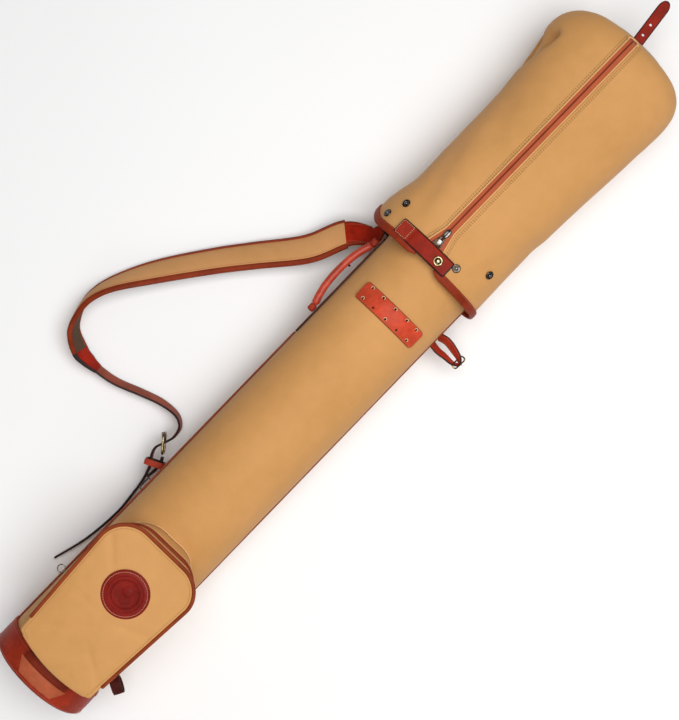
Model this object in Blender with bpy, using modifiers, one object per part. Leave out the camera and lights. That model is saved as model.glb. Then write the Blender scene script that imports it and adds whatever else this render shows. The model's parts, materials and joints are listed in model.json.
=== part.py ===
"""A slim canvas and leather golf carry bag with a zipped travel hood, lying on its back.

The origin is the centre of the base's end face. +Y runs along the tube towards the hood, +Z comes
out of the front, which carries the ball pocket, and +X is the side of the umbrella strap. The
shoulder strap and the carry handle are on the -X side. The bag lies on the plane z = FLOOR_Z.
"""

import math

import bmesh
import bpy
from mathutils import Matrix, Vector

# ---- driving dimensions, in metres ----
GAP = 0.0003
FLOOR_Z = -0.080

TUBE_RADIUS = 0.0763
TUBE_HEIGHT = 0.889
CANVAS_THICKNESS = 0.0022
LINER_THICKNESS = 0.0016
BOOT_RADIUS = 0.0800
BOOT_HEIGHT = 0.042
BOOT_FLOOR = 0.004
BOARD_THICKNESS = 0.005
CUFF_HEIGHT = 0.038
CUFF_RADIUS = 0.0772
SURFACE_RADIUS = TUBE_RADIUS + GAP

HEM_Y = 0.797
HEM_BINDING_HEIGHT = 0.012
# where the hem binding starts and ends, in degrees from +X by the front
HEM_START, HEM_END = 99.0, 442.5
HOOD_THICKNESS = 0.0020
HOOD_SQUARENESS = 2.4
HOOD_POINTS = 48
# y, left edge x, right edge x, front z, back z
HOOD_STATIONS = (
    (0.797, -0.110, 0.0895, 0.0870, -0.084),
    (0.840, -0.113, 0.0890, 0.0870, -0.084),
    (0.890, -0.1045, 0.0880, 0.0870, -0.084),
    (0.950, -0.1055, 0.0905, 0.0870, -0.084),
    (1.020, -0.1045, 0.0940, 0.0870, -0.084),
    (1.090, -0.108, 0.0985, 0.0870, -0.084),
    (1.150, -0.117, 0.1020, 0.0865, -0.084),
    (1.185, -0.121, 0.1025, 0.0845, -0.082),
    (1.210, -0.112, 0.0960, 0.0790, -0.076),
    (1.228, -0.090, 0.0780, 0.0660, -0.064),
    (1.238, -0.058, 0.0460, 0.0420, -0.042),
)

ZIP_X = -0.017
ZIP_TAPE_WIDTH = 0.0075
ZIP_TAPE_THICKNESS = 0.0012
ZIP_TOP_Y = 1.226
ZIP_LOW_Y = 0.8305
ZIP_SPREAD = 0.018
SLIDER_Y = 0.852
SLIDER_LENGTH = 0.012
SLIDER_WIDTH = 0.009
SLIDER_THICKNESS = 0.004

TAB_Y = 0.8175
TAB_WIDTH = 0.023
TAB_LEFT_X = -0.0735
TAB_HINGE_X = -0.051
TAB_RIGHT_X = 0.0195
TAB_THICKNESS = 0.0025
TAB_SNAP_X = -0.0005
SNAP_RADIUS = 0.006
SNAP_PLACES = ((-0.094, 0.818), (-0.084, 0.846), (0.0275, 0.8270), (0.065, 0.852))

HOOD_STRAP_ROOT = Vector((-0.0125, 1.2440, 0.020))
HOOD_STRAP_TIP = Vector((-0.0210, 1.3150, 0.020))
HOOD_STRAP_WIDTH = 0.017
HOOD_STRAP_THICKNESS = 0.003

POCKET_CENTRE_X = 0.0060
POCKET_FRONT_HALF_WIDTH = 0.075
POCKET_BACK_HALF_WIDTH = 0.058
POCKET_FRONT_Y = (0.047, 0.275)
POCKET_BACK_Y = (0.048, 0.287)
POCKET_FRONT_Z = (0.099, 0.113)
POCKET_TOP_CORNER = 0.046
POCKET_BOTTOM_CORNER = 0.010
POCKET_WALL = 0.0020
PIPING_RADIUS = 0.0028
POCKET_SLIDER_Y = 0.1535
BADGE_RADIUS = 0.034
BADGE_PLACE = (0.009, 0.196)

HANDLE_AXIS_X = -0.0856
HANDLE_Y = (0.650, 0.782)
HANDLE_RADIUS = 0.0060
HANDLE_REACH = 0.0068

STRAP_AXIS = (-0.0758, -0.0261)
STRAP_TOP_Y = 0.8115
STRAP_LOW_Y = 0.3000
PAD_WIDTH = 0.042
PAD_THICKNESS = 0.009
PAD_EDGE = 0.004
STRAP_WIDTH = 0.020
STRAP_THICKNESS = 0.003

UMBRELLA_AXIS = (0.0765, -0.025)
UMBRELLA_Y = 0.744

# ---- materials: base colour, roughness, metallic ----
FINISHES = {
    "canvas": ((0.62, 0.40, 0.20), 0.85, 0.0),
    "bright_leather": ((0.50, 0.07, 0.02), 0.45, 0.0),
    "dark_leather": ((0.24, 0.025, 0.015), 0.45, 0.0),
    "boot_leather": ((0.38, 0.06, 0.025), 0.5, 0.0),
    "patch_leather": ((0.48, 0.14, 0.055), 0.5, 0.0),
    "zip_tape": ((0.42, 0.10, 0.03), 0.8, 0.0),
    "brass": ((0.55, 0.42, 0.24), 0.35, 1.0),
    "dark_metal": ((0.10, 0.08, 0.06), 0.4, 1.0),
    "zip_metal": ((0.70, 0.68, 0.64), 0.3, 1.0),
    "plastic": ((0.06, 0.06, 0.06), 0.5, 0.0),
    "board": ((0.45, 0.33, 0.20), 0.8, 0.0),
}


# ---- scene set-up ----
def clear_scene():
    for obj in list(bpy.data.objects):
        bpy.data.objects.remove(obj)


def make_material(name):
    colour, roughness, metallic = FINISHES[name]
    material = bpy.data.materials.new(name)
    material.use_nodes = True
    shader = material.node_tree.nodes["Principled BSDF"]
    shader.inputs["Base Color"].default_value = (*colour, 1.0)
    shader.inputs["Roughness"].default_value = roughness
    shader.inputs["Metallic"].default_value = metallic
    return material


clear_scene()
COLLECTION = bpy.data.collections.new("golf_carry_bag")
CUTTERS = bpy.data.collections.new("cutters")
bpy.context.scene.collection.children.link(COLLECTION)
bpy.context.scene.collection.children.link(CUTTERS)
MATERIALS = {name: make_material(name) for name in FINISHES}


def add_object(name, data, finish, smooth=True):
    obj = bpy.data.objects.new(name, data)
    data.materials.append(MATERIALS[finish])
    COLLECTION.objects.link(obj)
    if smooth and isinstance(data, bpy.types.Mesh):
        data.shade_smooth()
        data.set_sharp_from_angle(angle=math.radians(35))
    return obj


def mesh_from(bm, name):
    mesh = bpy.data.meshes.new(name)
    bm.to_mesh(mesh)
    bm.free()
    return mesh


def as_cutter(obj):
    """Keeps a cutting shape out of the object itself."""
    CUTTERS.objects.link(obj)
    obj.hide_render = True
    obj.display_type = "WIRE"
    return obj


def pivot(name, location):
    """An empty on a joint's axis, which the moving pieces are parented to."""
    empty = bpy.data.objects.new(name, None)
    empty.location = location
    COLLECTION.objects.link(empty)
    return empty


def hang_on(parent, *objects):
    """Parents objects to an empty without moving them."""
    for obj in objects:
        obj.parent = parent
        obj.matrix_parent_inverse = Matrix.Translation(-parent.location)


# ---- modelling helpers ----
def turned(name, profile, finish, steps=48, closed=True):
    """A ring or cup turned about the tube's axis from (radius, y) points, outer side first."""
    mesh = bpy.data.meshes.new(name)
    points = [(radius, 0.0, y) for radius, y in profile]
    edges = [(i, i + 1) for i in range(len(points) - 1)]
    if closed:
        edges.append((len(points) - 1, 0))
    mesh.from_pydata(points, edges, [])
    obj = add_object(name, mesh, finish, smooth=False)
    obj.rotation_euler = (-math.pi / 2, 0, 0)
    screw = obj.modifiers.new("turn", "SCREW")
    screw.steps = steps
    screw.render_steps = steps
    screw.use_merge_vertices = True
    screw.merge_threshold = 0.0001
    return obj


def solid_loft(name, rings, finish, cyclic=False):
    """A closed solid through matching rings of points, capped at its ends or joined round."""
    bm = bmesh.new()
    rows = [[bm.verts.new(point) for point in ring] for ring in rings]
    count = len(rings[0])
    pairs = list(zip(rows, rows[1:]))
    if cyclic:
        pairs.append((rows[-1], rows[0]))
    for lower, upper in pairs:
        for i in range(count):
            j = (i + 1) % count
            bm.faces.new((lower[i], lower[j], upper[j], upper[i]))
    if not cyclic:
        bm.faces.new(rows[0])
        bm.faces.new(rows[-1])
    bmesh.ops.recalc_face_normals(bm, faces=bm.faces)
    return add_object(name, mesh_from(bm, name), finish)


def shell(name, rows, thickness, finish, outward, closed=True, cap=False, grow=-1.0):
    """An open surface through rows of points, with Solidify. outward(point) gives its outer side."""
    bm = bmesh.new()
    grid = [[bm.verts.new(point) for point in row] for row in rows]
    count = len(rows[0])
    for lower, upper in zip(grid, grid[1:]):
        for i in range(count if closed else count - 1):
            j = (i + 1) % count
            bm.faces.new((lower[i], lower[j], upper[j], upper[i]))
    if cap:
        bm.faces.new(grid[-1])
        bmesh.ops.recalc_face_normals(bm, faces=bm.faces)
    bm.normal_update()
    facing = sum(f.normal.dot(outward(f.calc_center_median())) for f in bm.faces)
    if facing < 0:
        bmesh.ops.reverse_faces(bm, faces=bm.faces)
    obj = add_object(name, mesh_from(bm, name), finish)
    solid = obj.modifiers.new("thickness", "SOLIDIFY")
    solid.thickness = thickness
    solid.offset = grow
    solid.use_even_offset = True
    return obj


def from_axis(point):
    return Vector((point.x, 0, point.z))


def tube_point(radius, angle, y):
    """A point round the tube. The angle runs from the front (+Z) towards +X, in degrees."""
    turn = math.radians(angle)
    return Vector((radius * math.sin(turn), y, radius * math.cos(turn)))


def tube_panel(name, finish, radius, thickness, y_range, left, right, steps=12):
    """A leather panel bent round the tube. left and right give its edge angles at each y share."""
    rows = []
    for share in (0.0, 0.5, 1.0):
        y = y_range[0] + share * (y_range[1] - y_range[0])
        low, high = left(share), right(share)
        rows.append([tube_point(radius, low + (high - low) * i / steps, y) for i in range(steps + 1)])
    return shell(name, rows, thickness, finish, from_axis, closed=False, grow=1.0)


def wire(name, points, radius, finish, cyclic=False, resolution=2):
    """A rod or ring of round section through points."""
    curve = bpy.data.curves.new(name, "CURVE")
    curve.dimensions = "3D"
    curve.bevel_depth = radius
    curve.bevel_resolution = resolution
    curve.use_fill_caps = True
    spline = curve.splines.new("POLY")
    spline.points.add(len(points) - 1)
    for slot, point in zip(spline.points, points):
        slot.co = (*point, 1.0)
    spline.use_cyclic_u = cyclic
    return add_object(name, curve, finish)


def disc(name, centre, axis, radius, thickness, finish, segments=20, dome=0.0):
    """A low round cap standing on centre along axis, with its upper edge drawn in by dome."""
    bm = bmesh.new()
    bmesh.ops.create_cone(
        bm,
        cap_ends=True,
        segments=segments,
        radius1=radius,
        radius2=radius - dome,
        depth=thickness,
    )
    turn = Vector((0, 0, 1)).rotation_difference(Vector(axis).normalized()).to_matrix().to_4x4()
    place = Matrix.Translation(Vector(centre) + Vector(axis).normalized() * thickness / 2)
    bmesh.ops.transform(bm, matrix=place @ turn, verts=bm.verts)
    return add_object(name, mesh_from(bm, name), finish)


def block(name, centre, size, finish, turn=None, bevel=0.001):
    """A box with softened edges. Its scale is in the mesh."""
    bm = bmesh.new()
    bmesh.ops.create_cube(bm, size=1.0)
    bmesh.ops.scale(bm, vec=size, verts=bm.verts)
    matrix = Matrix.Translation(centre) @ (turn.to_4x4() if turn else Matrix.Identity(4))
    bmesh.ops.transform(bm, matrix=matrix, verts=bm.verts)
    obj = add_object(name, mesh_from(bm, name), finish)
    soft = obj.modifiers.new("edges", "BEVEL")
    soft.width = bevel
    soft.segments = 1
    return obj


def smooth_path(keys, count):
    """Points along a Catmull-Rom curve through keys, which are tuples of any one length."""
    points = []
    last = len(keys) - 1
    for step in range(count + 1):
        place = last * step / count
        i = min(int(place), last - 1)
        t = place - i
        a, b = keys[max(i - 1, 0)], keys[i]
        c, d = keys[i + 1], keys[min(i + 2, last)]
        points.append(
            tuple(
                0.5
                * (
                    2 * q
                    + (r - p) * t
                    + (2 * p - 5 * q + 4 * r - s) * t * t
                    + (3 * q - p - 3 * r + s) * t**3
                )
                for p, q, r, s in zip(a, b, c, d)
            )
        )
    return points


def strap_frames(path):
    """Centre, across, normal and along vectors on a strap's path of (x, y, z, lean).

    lean is the angle in degrees by which the outer face turns from up (0) to outwards (90).
    """
    frames = []
    centres = [Vector(p[:3]) for p in path]
    for i, place in enumerate(path):
        along = centres[min(i + 1, len(path) - 1)] - centres[max(i - 1, 0)]
        along.normalize()
        outward = Vector((along.y, -along.x, 0)).normalized()
        lean = math.radians(place[3])
        normal = Vector((0, 0, 1)) * math.cos(lean) + outward * math.sin(lean)
        normal = (normal - along * normal.dot(along)).normalized()
        frames.append((centres[i], normal.cross(along).normalized(), normal, along))
    return frames


def rounded_frame(centre, along, across, length, width, corner, arcs=3):
    """Points round a rectangle with round corners, for a buckle's wire."""
    points = []
    for quarter in range(4):
        sx = (1, -1, -1, 1)[quarter]
        sy = (1, 1, -1, -1)[quarter]
        middle_x, middle_y = sx * (length / 2 - corner), sy * (width / 2 - corner)
        for k in range(arcs + 1):
            turn = math.pi / 2 * (quarter + k / arcs)
            x = middle_x + corner * math.cos(turn)
            y = middle_y + corner * math.sin(turn)
            points.append(Vector(centre) + Vector(along) * x + Vector(across) * y)
    return points


# ---- the tube and its base ----
def make_tube():
    inner = TUBE_RADIUS - CANVAS_THICKNESS
    top = TUBE_HEIGHT - 0.003
    bottom = BOOT_FLOOR + GAP
    turned(
        "canvas_shell",
        [(TUBE_RADIUS, top), (TUBE_RADIUS, bottom), (inner, bottom), (inner, top)],
        "canvas",
    )
    outer = inner - GAP
    inner = outer - LINER_THICKNESS
    turned("liner_tube", [(outer, top), (outer, bottom), (inner, bottom), (inner, top)], "plastic")
    board = inner - GAP
    turned(
        "base_board",
        [(0, bottom + BOARD_THICKNESS), (board, bottom + BOARD_THICKNESS), (board, bottom), (0, bottom)],
        "board",
        closed=False,
    )
    wall = TUBE_RADIUS + GAP
    round_off = 0.006
    edge = [
        (
            BOOT_RADIUS - round_off + round_off * math.cos(math.radians(a)),
            round_off - round_off * math.sin(math.radians(a)),
        )
        for a in (0, 30, 60, 90)
    ]
    turned(
        "base_boot",
        [(0, BOOT_FLOOR), (wall, BOOT_FLOOR), (wall, BOOT_HEIGHT), (BOOT_RADIUS, BOOT_HEIGHT), *edge, (0, 0)],
        "boot_leather",
        closed=False,
    )
    tube_panel(
        "boot_patch",
        "patch_leather",
        BOOT_RADIUS + 2 * GAP,
        0.0012,
        (0.010, 0.0275),
        lambda share: -17 - 9 * share,
        lambda share: 23 + 9 * share,
    )
    tube_panel(
        "boot_band",
        "dark_leather",
        BOOT_RADIUS + 2 * GAP,
        0.0020,
        (0.0285, 0.0405),
        lambda share: -24,
        lambda share: 32,
    )
    cuff_low = TUBE_HEIGHT - CUFF_HEIGHT
    cuff_in = TUBE_RADIUS - CANVAS_THICKNESS - LINER_THICKNESS - 3 * GAP - 0.0010
    cuff_step = cuff_in + 0.0010
    turned(
        "top_cuff",
        [
            (CUFF_RADIUS, TUBE_HEIGHT),
            (CUFF_RADIUS, cuff_low),
            (SURFACE_RADIUS, cuff_low),
            (SURFACE_RADIUS, top + GAP),
            (cuff_step, top + GAP),
            (cuff_step, cuff_low + 0.010),
            (cuff_in, cuff_low + 0.010),
            (cuff_in, TUBE_HEIGHT),
        ],
        "dark_leather",
    )
    for number, (x, y) in enumerate(SNAP_PLACES[2:], start=1):
        ground = CUFF_RADIUS if y > cuff_low - 0.006 else SURFACE_RADIUS
        angle = math.degrees(math.asin(x / ground))
        axis = tube_point(1.0, angle, 0.0)
        disc(f"snap_stud_{number}", tube_point(ground + GAP, angle, y), axis, 0.004, 0.0035, "dark_metal", 12)


def make_tube_trim():
    tube_panel(
        "spine_strip",
        "dark_leather",
        SURFACE_RADIUS,
        0.0018,
        (BOOT_HEIGHT + 0.001, 0.6105),
        lambda share: -95,
        lambda share: -85,
        steps=4,
    )
    tube_panel(
        "handle_base",
        "boot_leather",
        SURFACE_RADIUS,
        0.0022,
        (0.6112, 0.7960),
        lambda share: -99,
        lambda share: -81,
        steps=6,
    )
    tube_panel(
        "laced_patch",
        "bright_leather",
        SURFACE_RADIUS,
        0.0022,
        (0.7035, 0.7325),
        lambda share: -41,
        lambda share: 47,
        steps=16,
    )


# ---- the carry handle ----
def make_handle():
    low, high = HANDLE_Y
    keys = [
        (HANDLE_AXIS_X, low),
        (HANDLE_AXIS_X, low + 0.003),
        (HANDLE_AXIS_X, low + 0.007),
        (HANDLE_AXIS_X - 0.8 * HANDLE_REACH, low + 0.026),
        (HANDLE_AXIS_X - HANDLE_REACH, (low + high) / 2),
        (HANDLE_AXIS_X - 0.8 * HANDLE_REACH, high - 0.026),
        (HANDLE_AXIS_X, high - 0.007),
        (HANDLE_AXIS_X, high - 0.003),
        (HANDLE_AXIS_X, high),
    ]
    points = [(x, y, 0.0) for x, y in smooth_path(keys, 24)]
    grip = wire("handle_grip", points, HANDLE_RADIUS, "bright_leather", resolution=3)
    hang_on(pivot("handle_pivot", Vector((HANDLE_AXIS_X, low, 0))), grip)
    for name, y in (("handle_chape_lower", low - 0.0068), ("handle_chape_upper", high + 0.0068)):
        block(name, (-0.0841, y, 0), (0.0100, 0.012, 0.0150), "boot_leather", bevel=0.002)


# ---- the ball pocket ----
def pocket_ring(depth_share, inset=0.0, skip_bottom=False):
    """Points round the pocket at a share of its depth: 0 on the tube, 1 at the front panel."""
    def outline(half_width, y_low, y_high):
        half_width, y_low, y_high = half_width - inset, y_low + inset, y_high - inset
        points = []
        for sx, y, radius, start in (
            (1, y_low, POCKET_BOTTOM_CORNER, -90),
            (1, y_high, POCKET_TOP_CORNER, 0),
            (-1, y_high, POCKET_TOP_CORNER, 90),
            (-1, y_low, POCKET_BOTTOM_CORNER, 180),
        ):
            sy = 1 if y == y_low else -1
            arcs = 3 if radius == POCKET_BOTTOM_CORNER else 7
            for k in range(arcs + 1):
                turn = math.radians(start + 90 * k / arcs)
                points.append(
                    (
                        sx * (half_width - radius) + radius * math.cos(turn),
                        y + sy * radius + radius * math.sin(turn),
                    )
                )
        middle_y = (y_low + POCKET_BOTTOM_CORNER, y_high - POCKET_TOP_CORNER)
        side = 11 + 1
        rise = [middle_y[0] + (middle_y[1] - middle_y[0]) * k / 4 for k in (1, 2, 3)]
        right = [(half_width, y) for y in rise]
        left = [(-half_width, y) for y in reversed(rise)]
        right_end = 4
        left_start = right_end + 16
        points = points[:right_end] + right + points[right_end:left_start] + left + points[left_start:]
        if not skip_bottom:
            run = half_width - POCKET_BOTTOM_CORNER
            points += [(-run + 2 * run * k / side, y_low) for k in range(1, side)]
        return points

    front = outline(POCKET_FRONT_HALF_WIDTH, *POCKET_FRONT_Y)
    back = outline(POCKET_BACK_HALF_WIDTH, *POCKET_BACK_Y)
    ring = []
    for (fx, fy), (bx, by) in zip(front, back):
        bz = math.sqrt((SURFACE_RADIUS + 0.0005) ** 2 - bx**2)
        share = depth_share
        ring.append(
            Vector(
                (
                    (bx + (fx - bx) * share) + POCKET_CENTRE_X * share,
                    by + (fy - by) * share,
                    bz + (pocket_front_z(fy) - bz) * share,
                )
            )
        )
    return ring


def pocket_front_z(y):
    share = (y - POCKET_FRONT_Y[0]) / (POCKET_FRONT_Y[1] - POCKET_FRONT_Y[0])
    return POCKET_FRONT_Z[0] + (POCKET_FRONT_Z[1] - POCKET_FRONT_Z[0]) * share


def from_pocket(point):
    return Vector((point.x, point.y - 0.165, 0))


def make_pocket():
    shares = (-0.06, 0.25, 0.52)
    gusset = shell("pocket_gusset", [pocket_ring(s) for s in shares], POCKET_WALL, "canvas", from_pocket)
    cut = gusset.modifiers.new("tube_cut", "BOOLEAN")
    cut.object = make_tube_cutter()
    cut.operation = "DIFFERENCE"
    cut.solver = "EXACT"
    tape_rows = [pocket_ring(s) for s in (0.53, 0.62, 0.71)]
    shell("pocket_zip_tape", tape_rows, POCKET_WALL, "zip_tape", from_pocket)

    slope = (POCKET_FRONT_Z[1] - POCKET_FRONT_Z[0]) / (POCKET_FRONT_Y[1] - POCKET_FRONT_Y[0])
    out = Vector((0, -slope, 1)).normalized()
    rim = pocket_ring(1.0)
    rows = [pocket_ring(s) for s in (0.72, 0.86, 1.0)]
    front = make_pocket_lid(rows, rim)
    skirt = pocket_ring(1.0, skip_bottom=True)
    piping_points = [p + out * (PIPING_RADIUS + GAP) - from_pocket(p).normalized() * 0.002 for p in skirt]
    piping = wire("pocket_piping", piping_points, PIPING_RADIUS, "dark_leather")
    x, y = BADGE_PLACE
    seat = Vector((x, y, pocket_front_z(y))) + out * GAP
    badge = disc("pocket_badge", seat, out, BADGE_RADIUS, 0.0028, "dark_leather", 40, dome=0.0006)
    hinge = Vector((POCKET_CENTRE_X, POCKET_FRONT_Y[0], POCKET_FRONT_Z[0]))
    hang_on(pivot("pocket_door_pivot", hinge), front, piping, badge)


def make_tube_cutter():
    """A rod the size of the tube, which shapes the pocket's back edge."""
    bm = bmesh.new()
    reach = SURFACE_RADIUS + 0.0005
    bmesh.ops.create_cone(bm, cap_ends=True, segments=96, radius1=reach, radius2=reach, depth=0.4)
    matrix = Matrix.Translation((0, 0.165, 0)) @ Matrix.Rotation(math.pi / 2, 4, "X")
    bmesh.ops.transform(bm, matrix=matrix, verts=bm.verts)
    return as_cutter(bpy.data.objects.new("tube_cutter", mesh_from(bm, "tube_cutter")))


def make_pocket_lid(rows, rim):
    """The front panel with its short skirt, which is open along the hinge at the bottom."""
    bm = bmesh.new()
    panel = [bm.verts.new(p) for p in rim]
    bm.faces.new(panel)
    skirt_count = len(pocket_ring(1.0, skip_bottom=True))
    below = panel[:skirt_count]
    first, last = 3, skirt_count - 3
    for row in reversed(rows[:-1]):
        grid = [None] * skirt_count
        for i in range(first, last):
            grid[i] = bm.verts.new(row[i])
        for i in range(first, last - 1):
            bm.faces.new((grid[i], grid[i + 1], below[i + 1], below[i]))
        below = grid
    bmesh.ops.recalc_face_normals(bm, faces=bm.faces)
    bm.normal_update()
    if max(bm.faces, key=lambda f: f.calc_area()).normal.z < 0:
        bmesh.ops.reverse_faces(bm, faces=bm.faces)
    obj = add_object("pocket_front", mesh_from(bm, "pocket_front"), "canvas")
    solid = obj.modifiers.new("thickness", "SOLIDIFY")
    solid.thickness = POCKET_WALL
    solid.offset = -1.0
    solid.use_even_offset = True
    return obj


def make_pocket_zip():
    """The slider on the straight left stretch of the pocket's zip, and its pull ring."""
    level = pocket_ring(0.62)
    left = min(level, key=lambda p: p.x)
    place = Vector((left.x - 0.0034, POCKET_SLIDER_Y, left.z - 0.003))
    body = block("pocket_slider", place, (0.004, 0.010, 0.008), "dark_metal", bevel=0.0008)
    hang_on(pivot("pocket_slider_pivot", place), body)
    hook = place + Vector((-0.0052, 0, 0.0))
    ring_radius = 0.0055
    points = [
        hook
        + Vector((-ring_radius + ring_radius * math.cos(a), ring_radius * math.sin(a), 0))
        for a in (2 * math.pi * k / 12 for k in range(12))
    ]
    ring = wire("pocket_pull_ring", points, 0.0009, "dark_metal", cyclic=True)
    hang_on(pivot("pocket_pull_pivot", hook), ring)


# ---- the travel hood ----
def hood_station(y):
    """Edge places of the hood's section at y, between the stations."""
    stations = HOOD_STATIONS
    if y <= stations[0][0]:
        return stations[0][1:]
    for low, high in zip(stations, stations[1:]):
        if y <= high[0]:
            t = (y - low[0]) / (high[0] - low[0])
            return tuple(a + (b - a) * t for a, b in zip(low[1:], high[1:]))
    return stations[-1][1:]


def hood_point(y, turn, grow=0.0):
    """A point of the hood's section. turn runs from +X (0) by the front (90), in degrees."""
    left, right, front, back = hood_station(y)
    middle, half = (left + right) / 2, (right - left) / 2 + grow
    c, s = math.cos(math.radians(turn)), math.sin(math.radians(turn))
    power = 2 / HOOD_SQUARENESS
    tall = (front if s >= 0 else -back) + grow
    x = middle + half * math.copysign(abs(c) ** power, c)
    z = tall * math.copysign(abs(s) ** power, s)
    return Vector((x, y, max(z, FLOOR_Z)))


def hood_front(x, y, grow=0.0):
    """The point of the hood's front surface over x."""
    left, right, front, _ = hood_station(y)
    middle, half = (left + right) / 2, (right - left) / 2
    share = min(abs(x - middle) / half, 0.98)
    z = front * (1 - share**HOOD_SQUARENESS) ** (1 / HOOD_SQUARENESS)
    return Vector((x, y, z + grow))


def hood_normal(x, y):
    step = 0.001
    low, high = hood_front(x - step, y), hood_front(x + step, y)
    along = high - low
    return Vector((-along.z, 0, along.x)).normalized()


def make_hood():
    start = HEM_Y + HEM_BINDING_HEIGHT + GAP
    stations = [start] + [s[0] for s in HOOD_STATIONS if s[0] > start]
    turns = [360 * (k + 0.5) / HOOD_POINTS for k in range(HOOD_POINTS)]
    rows = [[hood_point(y, turn) for turn in turns] for y in stations]
    body = shell("hood_shell", rows, HOOD_THICKNESS, "canvas", from_axis, cap=True)
    notch = make_notch_cutter()
    cut = body.modifiers.new("zip_notch", "BOOLEAN")
    cut.object = notch
    cut.operation = "DIFFERENCE"
    cut.solver = "EXACT"

    sweep = HEM_END - HEM_START
    span = [HEM_START + sweep * k / HOOD_POINTS for k in range(HOOD_POINTS + 1)]
    rows = [[hood_point(y, turn) for turn in span] for y in (HEM_Y, HEM_Y + HEM_BINDING_HEIGHT)]
    shell("hem_binding", rows, 0.0022, "dark_leather", from_axis, closed=False)


def make_notch_cutter():
    """The wedge between the hem and the zip's lower end, where the zip's tapes part."""
    bm = bmesh.new()
    low_y, high_y = HEM_Y, SLIDER_Y + 0.006
    outline = [
        (ZIP_X - ZIP_SPREAD, low_y),
        (ZIP_X + ZIP_SPREAD, low_y),
        (ZIP_X + 0.001, high_y),
        (ZIP_X - 0.001, high_y),
    ]
    rings = [[(x, y, z) for x, y in outline] for z in (0.060, 0.110)]
    rows = [[bm.verts.new(p) for p in ring] for ring in rings]
    for i in range(4):
        j = (i + 1) % 4
        bm.faces.new((rows[0][i], rows[0][j], rows[1][j], rows[1][i]))
    bm.faces.new(rows[0])
    bm.faces.new(rows[1])
    bmesh.ops.recalc_face_normals(bm, faces=bm.faces)
    return as_cutter(bpy.data.objects.new("notch_cutter", mesh_from(bm, "notch_cutter")))


def zip_spread(y):
    """How far each zip tape stands off the zip's line below the slider."""
    low, high = HEM_Y + HEM_BINDING_HEIGHT, SLIDER_Y + 0.006
    if y >= high:
        return 0.0
    return ZIP_SPREAD * (high - y) / (high - low)


def make_hood_zip():
    levels = [s[0] for s in HOOD_STATIONS if ZIP_LOW_Y < s[0] < ZIP_TOP_Y]
    levels += [ZIP_LOW_Y, 0.8440, 0.8580, 0.9200, ZIP_TOP_Y]
    for name, side in (("zip_tape_left", -1), ("zip_tape_right", 1)):
        rings = []
        for y in sorted(levels):
            near = ZIP_X + side * (zip_spread(y) + GAP / 2)
            far = near + side * ZIP_TAPE_WIDTH
            low, high = 0.0004, 0.0004 + ZIP_TAPE_THICKNESS
            rings.append(
                [
                    hood_front(near, y, low),
                    hood_front(far, y, low),
                    hood_front(far, y, high),
                    hood_front(near, y, high),
                ]
            )
        solid_loft(name, rings, "zip_tape")

    seat = hood_front(ZIP_X, SLIDER_Y).z + 2 * GAP + ZIP_TAPE_THICKNESS + 0.0006
    centre = Vector((ZIP_X, SLIDER_Y, seat + SLIDER_THICKNESS / 2))
    size = (SLIDER_WIDTH, SLIDER_LENGTH, SLIDER_THICKNESS)
    slider = block("zip_slider", centre, size, "zip_metal", bevel=0.0008)
    hang_on(pivot("zip_slider_pivot", centre), slider)

    hinge = Vector((ZIP_X, SLIDER_Y - SLIDER_LENGTH / 2 - 0.0016, centre.z))
    pull = block(
        "zip_pull",
        hinge + Vector((0, -0.0055, 0)),
        (0.0055, 0.0125, 0.0014),
        "zip_metal",
        bevel=0.0004,
    )
    hang_on(pivot("zip_pull_pivot", hinge), pull)


def tab_ring(x, lift):
    """The four corners of the closing tab's section at x, lift above the hood."""
    low, high = TAB_Y - TAB_WIDTH / 2, TAB_Y + TAB_WIDTH / 2
    normal = hood_normal(x, TAB_Y)
    base = hood_front(x, TAB_Y)
    corners = []
    for y, rise in ((low, lift), (high, lift), (high, lift + TAB_THICKNESS), (low, lift + TAB_THICKNESS)):
        point = base + normal * rise
        corners.append(Vector((point.x, y, point.z)))
    return corners


def make_tab():
    lift = 2 * GAP + ZIP_TAPE_THICKNESS + 0.0003
    edges = [TAB_LEFT_X + (TAB_HINGE_X - 0.0006 - TAB_LEFT_X) * k / 4 for k in range(5)]
    solid_loft("tab_base", [tab_ring(x, 0.0006) for x in edges], "dark_leather")
    edges = [TAB_HINGE_X + (TAB_RIGHT_X - TAB_HINGE_X) * k / 10 for k in range(11)]
    flap = solid_loft("tab_strap", [tab_ring(x, lift) for x in edges], "dark_leather")
    normal = hood_normal(TAB_SNAP_X, TAB_Y)
    top = hood_front(TAB_SNAP_X, TAB_Y) + normal * (lift + TAB_THICKNESS + GAP)
    cap = disc("tab_snap_cap", top, normal, SNAP_RADIUS + 0.0008, 0.0022, "brass", dome=0.0012)
    base = hood_front(TAB_SNAP_X + 0.001, TAB_Y) + normal * GAP
    disc("tab_stud", base, normal, 0.004, lift - 2 * GAP - 0.0002, "dark_metal", 12)
    rise = hood_normal(TAB_HINGE_X, TAB_Y) * (lift + TAB_THICKNESS)
    hinge = hood_front(TAB_HINGE_X, TAB_Y) + rise
    hang_on(pivot("tab_pivot", hinge), flap, cap)
    for number, (x, y) in enumerate(SNAP_PLACES, start=1):
        normal = hood_normal(x, y)
        place = hood_front(x, y) + normal * (GAP + 0.0004)
        disc(f"snap_cap_{number}", place, normal, SNAP_RADIUS, 0.0020, "dark_metal", 16, dome=0.0012)


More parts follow.
